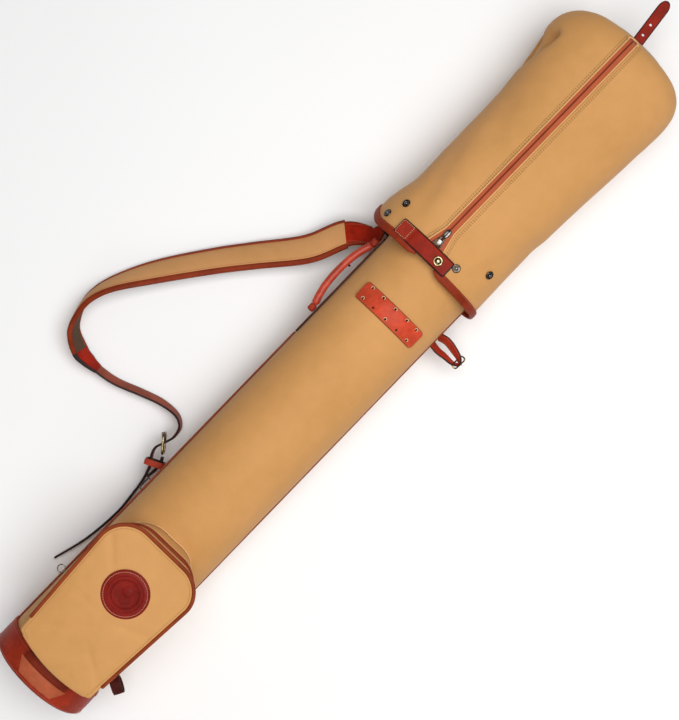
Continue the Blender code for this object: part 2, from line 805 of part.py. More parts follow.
def make_hood_strap():
    """The pointed strap with holes on the hood's end, its stitched root and its buckle."""
    along = (HOOD_STRAP_TIP - HOOD_STRAP_ROOT).normalized()
    across = along.cross(Vector((0, 0, 1))).normalized()
    length = (HOOD_STRAP_TIP - HOOD_STRAP_ROOT).length
    half, point = HOOD_STRAP_WIDTH / 2, 0.012
    outline = [(0.0, -half), (0.0, half)]
    outline += [(length - point, half), (length - point * 0.35, half * 0.66), (length, half * 0.2)]
    outline += [(length, -half * 0.2), (length - point * 0.35, -half * 0.66), (length - point, -half)]
    curve = bpy.data.curves.new("hood_strap", "CURVE")
    curve.dimensions = "2D"
    curve.fill_mode = "BOTH"
    curve.extrude = HOOD_STRAP_THICKNESS / 2
    loops = [outline]
    for place in (0.012, 0.030):
        ring = [2 * math.pi * k / 8 for k in range(8)]
        loops.append([(place + 0.0022 * math.cos(a), 0.0022 * math.sin(a)) for a in ring])
    for loop in loops:
        spline = curve.splines.new("POLY")
        spline.points.add(len(loop) - 1)
        for slot, (x, y) in zip(spline.points, loop):
            slot.co = (x, y, 0, 1)
        spline.use_cyclic_u = True
    flap = add_object("hood_strap", curve, "dark_leather")
    turn = Matrix((along, -across, Vector((0, 0, 1)))).transposed().to_4x4()
    flap.matrix_world = Matrix.Translation(HOOD_STRAP_ROOT) @ turn

    end_y = 1.2388
    block(
        "hood_strap_patch",
        (HOOD_STRAP_ROOT.x, end_y + 0.0022, HOOD_STRAP_ROOT.z),
        (0.024, 0.0024, 0.012),
        "dark_leather",
        bevel=0.0006,
    )
    tab_z = -0.006
    block(
        "hood_buckle_tab",
        (HOOD_STRAP_ROOT.x, end_y + 0.0022, tab_z),
        (HOOD_STRAP_WIDTH, 0.0024, 0.012),
        "dark_leather",
        bevel=0.0006,
    )
    frame_centre = Vector((HOOD_STRAP_ROOT.x, end_y + 0.0060, tab_z - 0.010))
    points = rounded_frame(frame_centre, (1, 0, 0), (0, 0, 1), 0.024, 0.018, 0.004)
    wire("hood_buckle_frame", points, 0.0013, "dark_metal", cyclic=True)
    low = frame_centre + Vector((0, 0.0030, -0.009))
    high = frame_centre + Vector((0, 0.0030, 0.009))
    prong = wire("hood_buckle_prong", [low, high], 0.0011, "dark_metal")
    hang_on(pivot("hood_prong_pivot", high), prong)


# ---- the shoulder strap ----
# x, y, z, lean along the whole strap, from the upper ring to the tail's tip
STRAP_KEYS = (
    (-0.0908, 0.8110, -0.0262, 22),
    (-0.0925, 0.8035, -0.0275, 22),
    (-0.0940, 0.7885, -0.0305, 22),
    (-0.1240, 0.7640, -0.0400, 20),
    (-0.1500, 0.7100, -0.0520, 26),
    (-0.2000, 0.6490, -0.0600, 32),
    (-0.2380, 0.6010, -0.0600, 36),
    (-0.2870, 0.5320, -0.0590, 44),
    (-0.3200, 0.4750, -0.0546, 66),
    (-0.3310, 0.4370, -0.0532, 88),
    (-0.3260, 0.4060, -0.0532, 104),
    (-0.3130, 0.3830, -0.0540, 112),
    (-0.2880, 0.3690, -0.0585, 122),
    (-0.2700, 0.3665, -0.0620, 124),
    (-0.2500, 0.3671, -0.0650, 122),
    (-0.2190, 0.3720, -0.0680, 120),
    (-0.1790, 0.3870, -0.0680, 118),
    (-0.1490, 0.3970, -0.0660, 114),
    (-0.1210, 0.4000, -0.0600, 104),
    (-0.1040, 0.3920, -0.0500, 94),
    (-0.0990, 0.3760, -0.0420, 90),
    (-0.1030, 0.3600, -0.0390, 90),
    (-0.1075, 0.3470, -0.0390, 90),
    (-0.1040, 0.3350, -0.0400, 90),
    (-0.0960, 0.3235, -0.0415, 90),
    (-0.0890, 0.3000, -0.0520, 90),
    (-0.0850, 0.2680, -0.0620, 90),
    (-0.0830, 0.2370, -0.0670, 90),
    (-0.0855, 0.2000, -0.0690, 90),
    (-0.0910, 0.1650, -0.0690, 90),
    (-0.1030, 0.1210, -0.0690, 90),
)
# name, first key, width and thickness at each of its keys, finish
STRAP_PIECES = (
    ("strap_end_cap", 0, ((0.010, 0.004), (0.012, 0.005), (0.016, 0.006), (0.040, 0.008)), "bright_leather"),
    ("strap_pad", 3, ((PAD_WIDTH * 0.8, 0.008), *[(PAD_WIDTH, PAD_THICKNESS)] * 8, (0.030, 0.007)), "canvas"),
    ("strap_connector", 12, ((0.036, 0.007), (0.030, 0.006), (0.021, 0.0045)), "bright_leather"),
    ("strap_narrow", 14, ((STRAP_WIDTH, 0.003), *[(STRAP_WIDTH, 0.003)] * 15, (0.012, 0.003)), "dark_leather"),
)
STRAP_STEPS = 4


def strap_piece(name, frames, first, sections, finish, side=0):
    """One piece of the strap between two keys. side -1 or 1 gives the pad's edge binding instead."""
    rings = []
    count = (len(sections) - 1) * STRAP_STEPS
    for k in range(count + 1):
        centre, across, normal, along = frames[first * STRAP_STEPS + k]
        i = min(k // STRAP_STEPS, len(sections) - 2)
        t = k / STRAP_STEPS - i
        width, thick = [a + (b - a) * t for a, b in zip(sections[i], sections[i + 1])]
        low, high = -width / 2, width / 2
        if side:
            low, high = sorted((side * (width / 2 + GAP), side * (width / 2 + GAP + PAD_EDGE)))
        if k == 0:
            centre = centre + along * GAP
        if k == count:
            centre = centre - along * GAP
        rise = normal * thick / 2
        rings.append(
            [
                centre + across * low - rise,
                centre + across * high - rise,
                centre + across * high + rise,
                centre + across * low + rise,
            ]
        )
    return solid_loft(name, rings, finish)


def strap_tab(name, y):
    """Leather folded round a ring's straight bar, with its tail lying on the tube."""
    axis = Vector((STRAP_AXIS[0], y, STRAP_AXIS[1]))
    out = Vector((axis.x, 0, axis.z)).normalized()
    round_tube = Vector((0, 1, 0)).cross(out)
    outline = (
        (3.2, 0),
        (2.8, 1.6),
        (1.6, 2.8),
        (-0.4, 11),
        (-3.2, 11),
        (-3.2, 3),
        (-3.2, 0),
        (-2.9, -1.6),
        (-1.6, -2.8),
        (0, -3.2),
        (1.6, -2.8),
        (2.8, -1.6),
    )
    rings = []
    for k, (rise, run) in enumerate(outline):
        turn = 2 * math.pi * k / len(outline)
        inner = out * math.cos(turn) * 0.0019 + round_tube * math.sin(turn) * 0.0019
        outer = out * rise / 1000 + round_tube * run / 1000
        half = Vector((0, 0.005, 0))
        rings.append([axis + inner - half, axis + outer - half, axis + outer + half, axis + inner + half])
    solid_loft(name, rings, "dark_leather", cyclic=True)


def cut_prong_slot(belt):
    """The slot in the strap that the buckle's prong comes up through."""
    bm = bmesh.new()
    bmesh.ops.create_cube(bm, size=1.0)
    bmesh.ops.scale(bm, vec=(0.012, 0.016, 0.0050), verts=bm.verts)
    turn = Matrix.Rotation(math.radians(39), 4, "Z")
    bmesh.ops.transform(bm, matrix=Matrix.Translation((-0.1036, 0.3575, -0.0390)) @ turn, verts=bm.verts)
    cut = belt.modifiers.new("prong_slot", "BOOLEAN")
    cut.object = as_cutter(bpy.data.objects.new("slot_cutter", mesh_from(bm, "slot_cutter")))
    cut.operation = "DIFFERENCE"
    cut.solver = "EXACT"


def make_shoulder_strap():
    axis_x, axis_z = STRAP_AXIS
    path = smooth_path(STRAP_KEYS, STRAP_STEPS * (len(STRAP_KEYS) - 1))
    frames = strap_frames(path)
    pieces = []
    for name, first, sections, finish in STRAP_PIECES:
        pieces.append(strap_piece(name, frames, first, sections, finish))
    cut_prong_slot(pieces[-1])
    for name, first, sections, finish in STRAP_PIECES:
        if name == "strap_pad":
            pieces.append(strap_piece("pad_binding_inner", frames, first, sections, "dark_leather", 1))
            pieces.append(strap_piece("pad_binding_outer", frames, first, sections, "dark_leather", -1))

    frame_along = Vector((0.63, -0.776, 0)).normalized()
    side = Vector((-frame_along.y, frame_along.x, 0))
    frame_centre = Vector((-0.1030, 0.3590, -0.0390))
    points = rounded_frame(frame_centre, frame_along, (0, 0, 1), 0.030, 0.0270, 0.006)
    pieces.append(wire("buckle_frame", points, 0.0016, "brass", cyclic=True))
    for name, y, reach in (("strap_ring_upper", STRAP_TOP_Y, -0.0085), ("strap_ring_lower", STRAP_LOW_Y, -0.0080)):
        centre = Vector((axis_x + reach / 2, y, axis_z))
        points = rounded_frame(centre, (0, 1, 0), (1, 0, 0), 0.019, abs(reach), 0.002, arcs=2)
        pieces.append(wire(name, points, 0.0013, "dark_metal", cyclic=True))
        strap_tab(name.replace("ring", "tab"), y)

    low_end = frame_centre + frame_along * 0.0200
    chape_keys = (
        (low_end.x, low_end.y, -0.0385, 90),
        (-0.0865, 0.3350, -0.0385, 90),
        (-0.0850, 0.3250, -0.0375, 90),
        (-0.0860, 0.3110, -0.0300, 90),
    )
    chape = strap_frames(smooth_path(chape_keys, 3 * STRAP_STEPS))
    pieces.append(strap_piece("buckle_strap", chape, 0, ((0.016, 0.004),) * 4, "dark_leather"))
    hang_on(pivot("shoulder_strap_pivot", Vector((axis_x, STRAP_LOW_Y, axis_z))), *pieces)

    prong_low = frame_centre + frame_along * 0.0118
    prong_high = frame_centre - frame_along * 0.0162 - side * 0.0034
    prong = wire("buckle_prong", [prong_low, prong_high], 0.0012, "brass")
    hang_on(pivot("buckle_prong_pivot", prong_low), prong)

    keeper_centre = Vector((-0.0925, 0.3290, -0.0400))
    along = Vector((0.42, -0.9075, 0)).normalized()
    across = Vector((-along.y, along.x, 0))
    inner = rounded_frame(keeper_centre, across, (0, 0, 1), 0.0245, 0.0266, 0.002, arcs=1)
    outer = rounded_frame(keeper_centre, across, (0, 0, 1), 0.0285, 0.0306, 0.003, arcs=1)
    half = along * 0.0045
    rings = [[i - half, o - half, o + half, i + half] for i, o in zip(inner, outer)]
    keeper = solid_loft("strap_keeper", rings, "bright_leather", cyclic=True)
    hang_on(pivot("keeper_pivot", keeper_centre), keeper)


# ---- the umbrella strap and the lower loop ----
def make_umbrella_strap():
    """The leather loop with a small buckle which holds an umbrella's shaft."""
    axis_x, axis_z = UMBRELLA_AXIS
    keys = (
        (axis_x + 0.0050, UMBRELLA_Y + 0.0100, -0.0215, 8),
        (0.0900, UMBRELLA_Y + 0.0115, -0.0175, 14),
        (0.1030, UMBRELLA_Y + 0.0100, -0.0185, 16),
        (0.1115, UMBRELLA_Y + 0.0065, -0.0215, 40),
        (0.1140, UMBRELLA_Y - 0.0010, -0.0270, 60),
        (0.1115, UMBRELLA_Y - 0.0080, -0.0325, 70),
        (0.1030, UMBRELLA_Y - 0.0115, -0.0355, 80),
        (0.0900, UMBRELLA_Y - 0.0125, -0.0365, 84),
        (axis_x + 0.0035, UMBRELLA_Y - 0.0100, -0.0350, 88),
    )
    frames = strap_frames(smooth_path(keys, (len(keys) - 1) * STRAP_STEPS))
    loop = strap_piece("umbrella_strap", frames, 0, ((0.011, 0.0025),) * len(keys), "dark_leather")
    centre = Vector((0.1235, UMBRELLA_Y - 0.0015, -0.0270))
    tall = Vector((0, 0.83, 0.55)).normalized()
    points = rounded_frame(centre, (1, 0, 0), tall, 0.008, 0.024, 0.003, arcs=2)
    frame = wire("umbrella_buckle", points, 0.0012, "brass", cyclic=True)
    hang_on(pivot("umbrella_pivot", Vector((axis_x, UMBRELLA_Y, axis_z))), loop, frame)
    start = centre + Vector((-0.0030, 0, 0.0032))
    prong = wire("umbrella_prong", [start, start + Vector((0.0090, 0, 0.0006))], 0.0009, "brass")
    hang_on(pivot("umbrella_prong_pivot", start), prong)
    out = Vector((axis_x, 0, axis_z)).normalized()
    lie = Matrix((out.cross(Vector((0, 1, 0))), Vector((0, -1, 0)), out)).transposed()
    seat = out * (SURFACE_RADIUS + 0.0004 + 0.0010)
    block("umbrella_tab", (seat.x, UMBRELLA_Y, seat.z), (0.020, 0.030, 0.0020), "dark_leather", lie, 0.0005)


def make_lower_loop():
    """A folded leather loop low on the right side, which holds an umbrella's tip."""
    turn = Matrix.Rotation(math.radians(-28), 3, "Z")
    hinge = Vector((0.0800, 0.0720, -0.008))
    rings = []
    count = 14
    for k in range(count):
        a = 2 * math.pi * k / count
        ring = []
        for grow, y in ((0.0, -0.008), (0.0, 0.008), (0.002, 0.008), (0.002, -0.008)):
            x = 0.0130 + (0.0110 + grow) * math.cos(a)
            z = (0.0065 + grow) * math.sin(a)
            ring.append(hinge + turn @ Vector((x, y, z)))
        rings.append(ring)
    loop = solid_loft("lower_umbrella_loop", rings, "dark_leather", cyclic=True)
    hang_on(pivot("lower_loop_pivot", hinge), loop)


make_tube()
make_tube_trim()
make_handle()
make_pocket()
make_pocket_zip()
make_hood()
make_hood_zip()
make_tab()
make_hood_strap()
make_shoulder_strap()
make_umbrella_strap()
make_lower_loop()
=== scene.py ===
import json
import math

import bmesh
import bpy
from mathutils import Matrix, Vector, noise

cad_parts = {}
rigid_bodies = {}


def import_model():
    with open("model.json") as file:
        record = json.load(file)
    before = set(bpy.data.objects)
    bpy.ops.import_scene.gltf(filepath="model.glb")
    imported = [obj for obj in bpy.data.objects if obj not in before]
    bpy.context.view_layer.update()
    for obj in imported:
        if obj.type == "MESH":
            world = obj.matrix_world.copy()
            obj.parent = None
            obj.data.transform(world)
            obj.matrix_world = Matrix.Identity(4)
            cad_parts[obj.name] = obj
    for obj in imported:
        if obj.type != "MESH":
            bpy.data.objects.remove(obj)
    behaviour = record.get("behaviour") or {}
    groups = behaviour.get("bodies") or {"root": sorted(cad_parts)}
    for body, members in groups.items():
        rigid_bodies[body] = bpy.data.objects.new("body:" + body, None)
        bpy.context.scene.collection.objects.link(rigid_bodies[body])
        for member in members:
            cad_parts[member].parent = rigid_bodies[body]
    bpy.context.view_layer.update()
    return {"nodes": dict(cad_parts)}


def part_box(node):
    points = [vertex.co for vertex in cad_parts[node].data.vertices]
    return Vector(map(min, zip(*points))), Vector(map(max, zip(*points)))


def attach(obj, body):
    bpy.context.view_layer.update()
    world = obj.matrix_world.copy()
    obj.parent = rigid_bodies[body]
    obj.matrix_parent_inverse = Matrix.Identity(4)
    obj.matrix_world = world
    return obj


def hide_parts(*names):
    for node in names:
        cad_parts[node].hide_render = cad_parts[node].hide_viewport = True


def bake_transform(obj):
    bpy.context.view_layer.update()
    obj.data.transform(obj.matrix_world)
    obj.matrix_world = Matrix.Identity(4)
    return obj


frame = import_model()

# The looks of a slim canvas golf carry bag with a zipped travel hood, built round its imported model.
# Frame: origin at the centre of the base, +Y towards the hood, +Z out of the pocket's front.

# ---- driving dimensions, in metres ----
FLOOR_Z = -0.080
TUBE_RADIUS = 0.0763
SURFACE_RADIUS = 0.0766
TUBE_TOP_Y = 0.886
BOOT_RADIUS = 0.0800
BOOT_HEIGHT = 0.042
HEM_Y = 0.797
HEM_HEIGHT = 0.012
HOOD_POWER = 2.4
HOOD_STATIONS = (
    (0.797, -0.110, 0.0895, 0.0870, -0.084),
    (0.840, -0.113, 0.0890, 0.0870, -0.084),
    (0.890, -0.1045, 0.0880, 0.0870, -0.084),
    (0.950, -0.1055, 0.0905, 0.0870, -0.084),
    (1.020, -0.1045, 0.0940, 0.0870, -0.084),
    (1.090, -0.108, 0.0985, 0.0870, -0.084),
    (1.150, -0.117, 0.1020, 0.0865, -0.084),
    (1.185, -0.121, 0.1025, 0.0845, -0.082),
    (1.210, -0.112, 0.0960, 0.0790, -0.076),
    (1.228, -0.090, 0.0780, 0.0660, -0.064),
    (1.238, -0.058, 0.0460, 0.0420, -0.042),
)
ZIP_X = -0.017
ZIP_TOP_Y = 1.226
ZIP_FORK_Y = 0.858
ZIP_LOW_Y = 0.8305
ZIP_SPREAD = 0.0115
TAPE_WIDTH = 0.0068
TAB_Y = 0.8168
TAB_WIDTH = 0.0255
TAB_LEFT_X, TAB_HINGE_X, TAB_RIGHT_X = -0.0735, -0.051, 0.0195
TAB_SNAP_X = -0.0005
SNAP_PLACES = ((-0.0975, 0.8195), (-0.0875, 0.846), (0.0250, 0.8270), (0.065, 0.8545))
POCKET_Z = (0.099, 0.113)
POCKET_Y = (0.047, 0.275)
BADGE_PLACE = (0.009, 0.196)
BADGE_RADIUS = 0.034
HANDLE_X = -0.0856
HANDLE_Y = (0.650, 0.782)
STRAP_AXIS = (-0.0758, -0.0261)

# ---- colours, linear ----
CANVAS = (0.640, 0.322, 0.115)
CANVAS_SHADE = (0.545, 0.272, 0.084)
PAINTED_EDGE = (0.018, 0.006, 0.005)


# ---- node helpers ----
class Shader:
    """A material being built: its tree, its Principled shader and short ways to add nodes."""

    def __init__(self, name, roughness, metallic=0.0, coat=0.0, sheen=0.0, specular=0.30):
        self.material = bpy.data.materials.new(name)
        self.material.use_nodes = True
        self.tree = self.material.node_tree
        self.shader = self.tree.nodes["Principled BSDF"]
        self.shader.inputs["Roughness"].default_value = roughness
        self.shader.inputs["Metallic"].default_value = metallic
        self.shader.inputs["Coat Weight"].default_value = coat
        self.shader.inputs["Coat Roughness"].default_value = 0.25
        self.shader.inputs["Sheen Weight"].default_value = sheen
        self.shader.inputs["Sheen Roughness"].default_value = 0.5
        self.shader.inputs["Specular IOR Level"].default_value = specular

    def add(self, kind, **sockets):
        node = self.tree.nodes.new(kind)
        for key, value in sockets.items():
            self.put(node.inputs[key.replace("_", " ")], value)
        return node

    def put(self, socket, value):
        if isinstance(value, bpy.types.NodeSocket):
            self.tree.links.new(value, socket)
        else:
            socket.default_value = value

    def math(self, operation, first, second=0.0, clamp=False):
        node = self.tree.nodes.new("ShaderNodeMath")
        node.operation = operation
        node.use_clamp = clamp
        self.put(node.inputs[0], first)
        self.put(node.inputs[1], second)
        return node.outputs[0]

    def mix(self, share, first, second):
        node = self.tree.nodes.new("ShaderNodeMix")
        node.data_type = "RGBA"
        self.put(node.inputs["Factor"], share)
        for socket, value in ((node.inputs["A"], first), (node.inputs["B"], second)):
            self.put(socket, (*value, 1.0) if isinstance(value, tuple) else value)
        return node.outputs["Result"]

    def object_place(self):
        return self.add("ShaderNodeTexCoord").outputs["Object"]

    def noise(self, scale, detail=3.0, place=None, roughness=0.5):
        node = self.add("ShaderNodeTexNoise", Scale=scale, Detail=detail, Roughness=roughness)
        self.put(node.inputs["Vector"], place or self.object_place())
        return node.outputs["Fac"]

    def ramp(self, value, low, high):
        node = self.add("ShaderNodeMapRange", From_Min=low, From_Max=high)
        self.put(node.inputs["Value"], value)
        return node.outputs["Result"]

    def finish(self, colour, height=None, strength=0.5, distance=0.0005, roughness=None):
        self.put(self.shader.inputs["Base Color"], colour)
        if height is not None:
            bump = self.add("ShaderNodeBump", Strength=strength, Distance=distance, Height=height)
            self.put(self.shader.inputs["Normal"], bump.outputs["Normal"])
        if roughness is not None:
            self.put(self.shader.inputs["Roughness"], roughness)
        return self.material


def canvas_material(name, colour, shade, thread=0.0011):
    """Plain-weave cotton duck: crossing threads from the UVs, slubs, and slow changes of tone."""
    m = Shader(name, 0.85, sheen=0.04, specular=0.12)
    uv = m.add("ShaderNodeTexCoord").outputs["UV"]
    split = m.add("ShaderNodeSeparateXYZ", Vector=uv)
    across = m.math("MULTIPLY", split.outputs["X"], 1 / thread)
    along = m.math("MULTIPLY", split.outputs["Y"], 1 / thread)
    warp = m.math("ABSOLUTE", m.math("SINE", m.math("MULTIPLY", across, math.pi)))
    weft = m.math("ABSOLUTE", m.math("SINE", m.math("MULTIPLY", along, math.pi)))
    cells = m.math("ADD", m.math("FLOOR", across), m.math("FLOOR", along))
    over = m.math("PINGPONG", cells, 1.0)
    raised = m.math("ADD", m.math("MULTIPLY", warp, over),
                    m.math("MULTIPLY", weft, m.math("SUBTRACT", 1.0, over)))
    stretch = m.add("ShaderNodeMapping", Vector=uv)
    stretch.inputs["Scale"].default_value = (1.0, 0.12, 1.0)
    slub = m.noise(1400.0, 2.0, stretch.outputs["Vector"])
    patchy = m.noise(55.0, 4.0)
    broad = m.noise(7.0, 2.0)
    tone = m.math("ADD", m.math("MULTIPLY", broad, 0.55),
                  m.math("ADD", m.math("MULTIPLY", patchy, 0.30), m.math("MULTIPLY", slub, 0.15)))
    base = m.mix(m.ramp(tone, 0.34, 0.66), shade, colour)
    thread_tone = m.ramp(raised, -0.6, 1.0)
    dark = tuple(c * 0.80 for c in colour)
    colour_out = m.mix(thread_tone, m.mix(0.5, base, dark), base)
    height = m.math("ADD", m.math("MULTIPLY", raised, 0.6), m.math("MULTIPLY", slub, 0.4))
    return m.finish(colour_out, height, 0.35, 0.0003, m.ramp(patchy, -1.2, 1.6))


def leather_material(name, colour, depth=0.62, grain=0.0012, roughness=0.48, coat=0.0, wrinkle=0.35):
    """Vegetable-tanned leather: pebbled grain, soft creases, and burnished darker patches."""
    m = Shader(name, roughness, coat=coat, specular=0.07)
    cells = m.add("ShaderNodeTexVoronoi", Scale=1 / grain, Randomness=0.9)
    m.put(cells.inputs["Vector"], m.object_place())
    pores = m.ramp(cells.outputs["Distance"], 0.0, 0.75)
    creases = m.noise(160.0, 5.0, roughness=0.62)
    clouds = m.noise(38.0, 3.0)
    tone = m.math("ADD", m.math("MULTIPLY", clouds, 0.6), m.math("MULTIPLY", creases, 0.4))
    dark = tuple(c * depth for c in colour)
    base = m.mix(m.ramp(tone, 0.36, 0.60), dark, colour)
    base = m.mix(m.ramp(pores, -1.4, 1.0), dark, base)
    height = m.math("ADD", m.math("MULTIPLY", pores, -0.4), m.math("MULTIPLY", creases, wrinkle))
    gloss = m.math("ADD", m.math("MULTIPLY", clouds, 0.22), roughness - 0.10)
    return m.finish(base, height, 0.40, 0.0004, gloss)


def rib_material(name, colour, pitch=0.0012, roughness=0.75):
    """Zip tape: fine slanted ribs from the UVs."""
    m = Shader(name, roughness, sheen=0.05, specular=0.15)
    split = m.add("ShaderNodeSeparateXYZ", Vector=m.add("ShaderNodeTexCoord").outputs["UV"])
    fold = m.math("PINGPONG", m.math("MULTIPLY", split.outputs["X"], 1 / pitch), 1.0)
    slant = m.math("ADD", m.math("MULTIPLY", split.outputs["Y"], 1 / pitch), fold)
    ribs = m.math("ABSOLUTE", m.math("SINE", m.math("MULTIPLY", slant, math.pi)))
    dark = tuple(c * 0.6 for c in colour)
    cloud = m.noise(60.0, 3.0)
    base = m.mix(m.ramp(cloud, 0.3, 0.7), tuple(c * 0.82 for c in colour), colour)
    return m.finish(m.mix(m.ramp(ribs, -0.4, 1.0), dark, base), ribs, 0.5, 0.0003)


def metal_material(name, colour, dark, roughness, tarnish=(0.38, 0.62), scratch=260.0):
    """Cast and tumbled metal with tarnish in its hollows."""
    m = Shader(name, roughness, metallic=1.0)
    cloud = m.noise(scratch, 5.0, roughness=0.65)
    base = m.mix(m.ramp(cloud, *tarnish), dark, colour)
    return m.finish(base, cloud, 0.12, 0.0002, m.ramp(cloud, 1.0 - 2.2 * roughness, 1.6))


def plain_material(name, colour, roughness, scale=300.0, bump=0.2, spread=0.8):
    """Board, lining, painted edge or thread: fine fibres over a soft change of tone."""
    m = Shader(name, roughness)
    fibre = m.noise(scale, 4.0, roughness=0.6)
    base = m.mix(m.ramp(fibre, 0.3, 0.7), tuple(c * spread for c in colour), colour)
    return m.finish(base, fibre, bump, 0.0003)


MATERIALS = {
    "canvas": canvas_material("canvas_duck", CANVAS, CANVAS_SHADE),
    # A paler copy of the canvas for the raised folds beside the hood zip, the zip's top loop and the pocket's
    # base cord: painted highlight where light catches them.
    "canvas_edge": canvas_material("canvas_fold_highlight", (0.78, 0.44, 0.18), (0.70, 0.38, 0.15)),
    "canvas_pad": canvas_material("canvas_pad", (0.64, 0.315, 0.125), (0.53, 0.265, 0.090)),
    "patch": leather_material("leather_patch", (0.66, 0.072, 0.030), 0.66, coat=0.06, roughness=0.42),
    "handle": leather_material("leather_handle", (0.62, 0.072, 0.034), 0.50, coat=0.35, roughness=0.36),
    "cap": leather_material("leather_cap", (0.42, 0.020, 0.006), 0.50),
    "tab": leather_material("leather_tab", (0.31, 0.020, 0.009), 0.62),
    "tab_end": leather_material("leather_tab_end", (0.40, 0.038, 0.022), 0.60, 0.0018, 0.55, 0.0, 0.8),
    "hem": leather_material("leather_hem", (0.30, 0.036, 0.012), 0.62),
    "piping": leather_material("leather_piping", (0.28, 0.052, 0.016), 0.66, 0.0009),
    "spine": leather_material("leather_spine", (0.34, 0.070, 0.032), 0.66),
    "boot": leather_material("leather_boot", (0.36, 0.034, 0.014), 0.62, 0.0015, 0.42, 0.03, 0.5),
    "panel": leather_material("leather_panel", (0.44, 0.100, 0.042), 0.74, 0.0015, 0.42, 0.03, 0.5),
    # The band leather's dark colour is partly its own and partly painted shadow from the pocket above the
    # boot's front band; the top cuff shares it.
    "band": leather_material("leather_band_with_painted_shadow", (0.21, 0.026, 0.011), 0.60),
    "binding": leather_material("leather_binding", (0.26, 0.036, 0.011), 0.66),
    "connector": leather_material("leather_connector", (0.42, 0.034, 0.013), 0.60),
    "narrow": leather_material("leather_narrow", (0.34, 0.082, 0.050), 0.62),
    "keeper": leather_material("leather_keeper", (0.44, 0.050, 0.024), 0.66),
    "dark": leather_material("leather_dark", (0.075, 0.012, 0.009), 0.55),
    "badge": leather_material("leather_badge", (0.25, 0.015, 0.010), 0.62, 0.0010, 0.42, 0.03, 0.4),
    "edge": plain_material("painted_edge", PAINTED_EDGE, 0.6),
    "lining": plain_material("lining_suede", (0.10, 0.055, 0.030), 0.95, 500.0, 0.5),
    "tape": rib_material("zip_tape", (0.52, 0.115, 0.045)),
    # Dark tape finish: the pocket zip's coil in its own dark colour, and on the hood's left tape a painted
    # shade line beside the coil.
    "tape_dark": rib_material("zip_tape_dark", (0.26, 0.034, 0.012)),
    "brass": metal_material("antique_brass", (0.46, 0.36, 0.20), (0.12, 0.09, 0.045), 0.34),
    "steel": metal_material("dark_steel", (0.13, 0.11, 0.09), (0.04, 0.03, 0.025), 0.32),
    "nickel": metal_material("nickel", (0.30, 0.285, 0.26), (0.08, 0.075, 0.07), 0.42),
    "cream": plain_material("cream_thread", (0.86, 0.62, 0.36), 0.8, 1500.0, 0.5),
    "tan": plain_material("tan_thread", (0.36, 0.21, 0.075), 0.8, 1500.0, 0.5),
    "red_thread": plain_material("red_thread", (0.55, 0.12, 0.06), 0.8, 1500.0, 0.5),
    "hole": plain_material("hole_shadow", (0.020, 0.008, 0.006), 0.9),
    "board": plain_material("fibre_board", (0.40, 0.28, 0.16), 0.9, 120.0, 0.3),
    "liner": plain_material("liner_plastic", (0.045, 0.045, 0.045), 0.5, 80.0, 0.1),
}


# ---- shape helpers ----
def smooth_path(keys, count):
    """Points along a Catmull-Rom curve through keys, which are tuples of any one length."""
    points = []
    last = len(keys) - 1
    for step in range(count + 1):
        place = last * step / count
        i = min(int(place), last - 1)
        t = place - i
        four = (keys[max(i - 1, 0)], keys[i], keys[i + 1], keys[min(i + 2, last)])
        points.append(tuple(
            0.5 * (2 * q + (r - p) * t + (2 * p - 5 * q + 4 * r - s) * t * t
                   + (3 * q - p - 3 * r + s) * t**3)
            for p, q, r, s in zip(*four)
        ))
    return points


def at_table(table, y):
    """A row of a table at y, eased between its rows: each row is (y, value, ...)."""
    if y <= table[0][0]:
        return table[0][1:]
    for i, (low, high) in enumerate(zip(table, table[1:])):
        if y <= high[0]:
            before = table[max(i - 1, 0)]
            after = table[min(i + 2, len(table) - 1)]
            span = high[0] - low[0]
            t = (y - low[0]) / span
            values = []
            for k in range(1, len(low)):
                a, b = low[k], high[k]
                slope_a = (b - before[k]) / max(high[0] - before[0], 1e-6) * span
                slope_b = (after[k] - a) / max(after[0] - low[0], 1e-6) * span
                values.append(a * (2 * t**3 - 3 * t * t + 1) + slope_a * (t**3 - 2 * t * t + t)
                              + b * (3 * t * t - 2 * t**3) + slope_b * (t**3 - t * t))
            return tuple(values)
    return table[-1][1:]


def running(steps):
    total, sums = 0.0, [0.0]
    for step in steps:
        total += step
        sums.append(total)
    return sums


def put(name, bm, materials, body, slot, replaced=()):
    """Makes a mesh object from bm with its finish, body and the CAD nodes it stands for; slot is not used."""
    mesh = bpy.data.meshes.new(name)
    bm.to_mesh(mesh)
    bm.free()
    mesh.shade_smooth()
    mesh.set_sharp_from_angle(angle=math.radians(50))
    obj = bpy.data.objects.new(name, mesh)
    bpy.context.scene.collection.objects.link(obj)
    for material in [materials] if isinstance(materials, str) else materials:
        mesh.materials.append(MATERIALS[material])
    if body:
        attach(obj, body)
    if replaced:
        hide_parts(*replaced)
    return obj


def loft(bm, rows, around=False, caps=False, paint=None):
    """Adds a surface through rows of points, with UVs in metres. paint(r, c) gives material indices."""
    uv = bm.loops.layers.uv.verify()
    verts = [[bm.verts.new(p) for p in row] for row in rows]
    count = len(rows[0])
    middle = rows[len(rows) // 2]
    wide = running([(middle[(c + 1) % count] - middle[c]).length for c in range(count)])
    tall = running([
        sum((high[c] - low[c]).length for c in range(0, count, 4)) / len(range(0, count, 4))
        for low, high in zip(rows, rows[1:])
    ])
    for r in range(len(rows) - 1):
        for c in range(count if around else count - 1):
            d = (c + 1) % count
            face = bm.faces.new((verts[r][c], verts[r][d], verts[r + 1][d], verts[r + 1][c]))
            for loop, (i, j) in zip(face.loops, ((c, r), (c + 1, r), (c + 1, r + 1), (c, r + 1))):
                loop[uv].uv = (wide[i], tall[j])
            if paint:
                face.material_index = paint(r, c)
    if caps:
        for row, index in ((verts[0], 0), (verts[-1], len(rows) - 2)):
            face = bm.faces.new(row)
            if paint:
                face.material_index = paint(index, -1)
    return verts


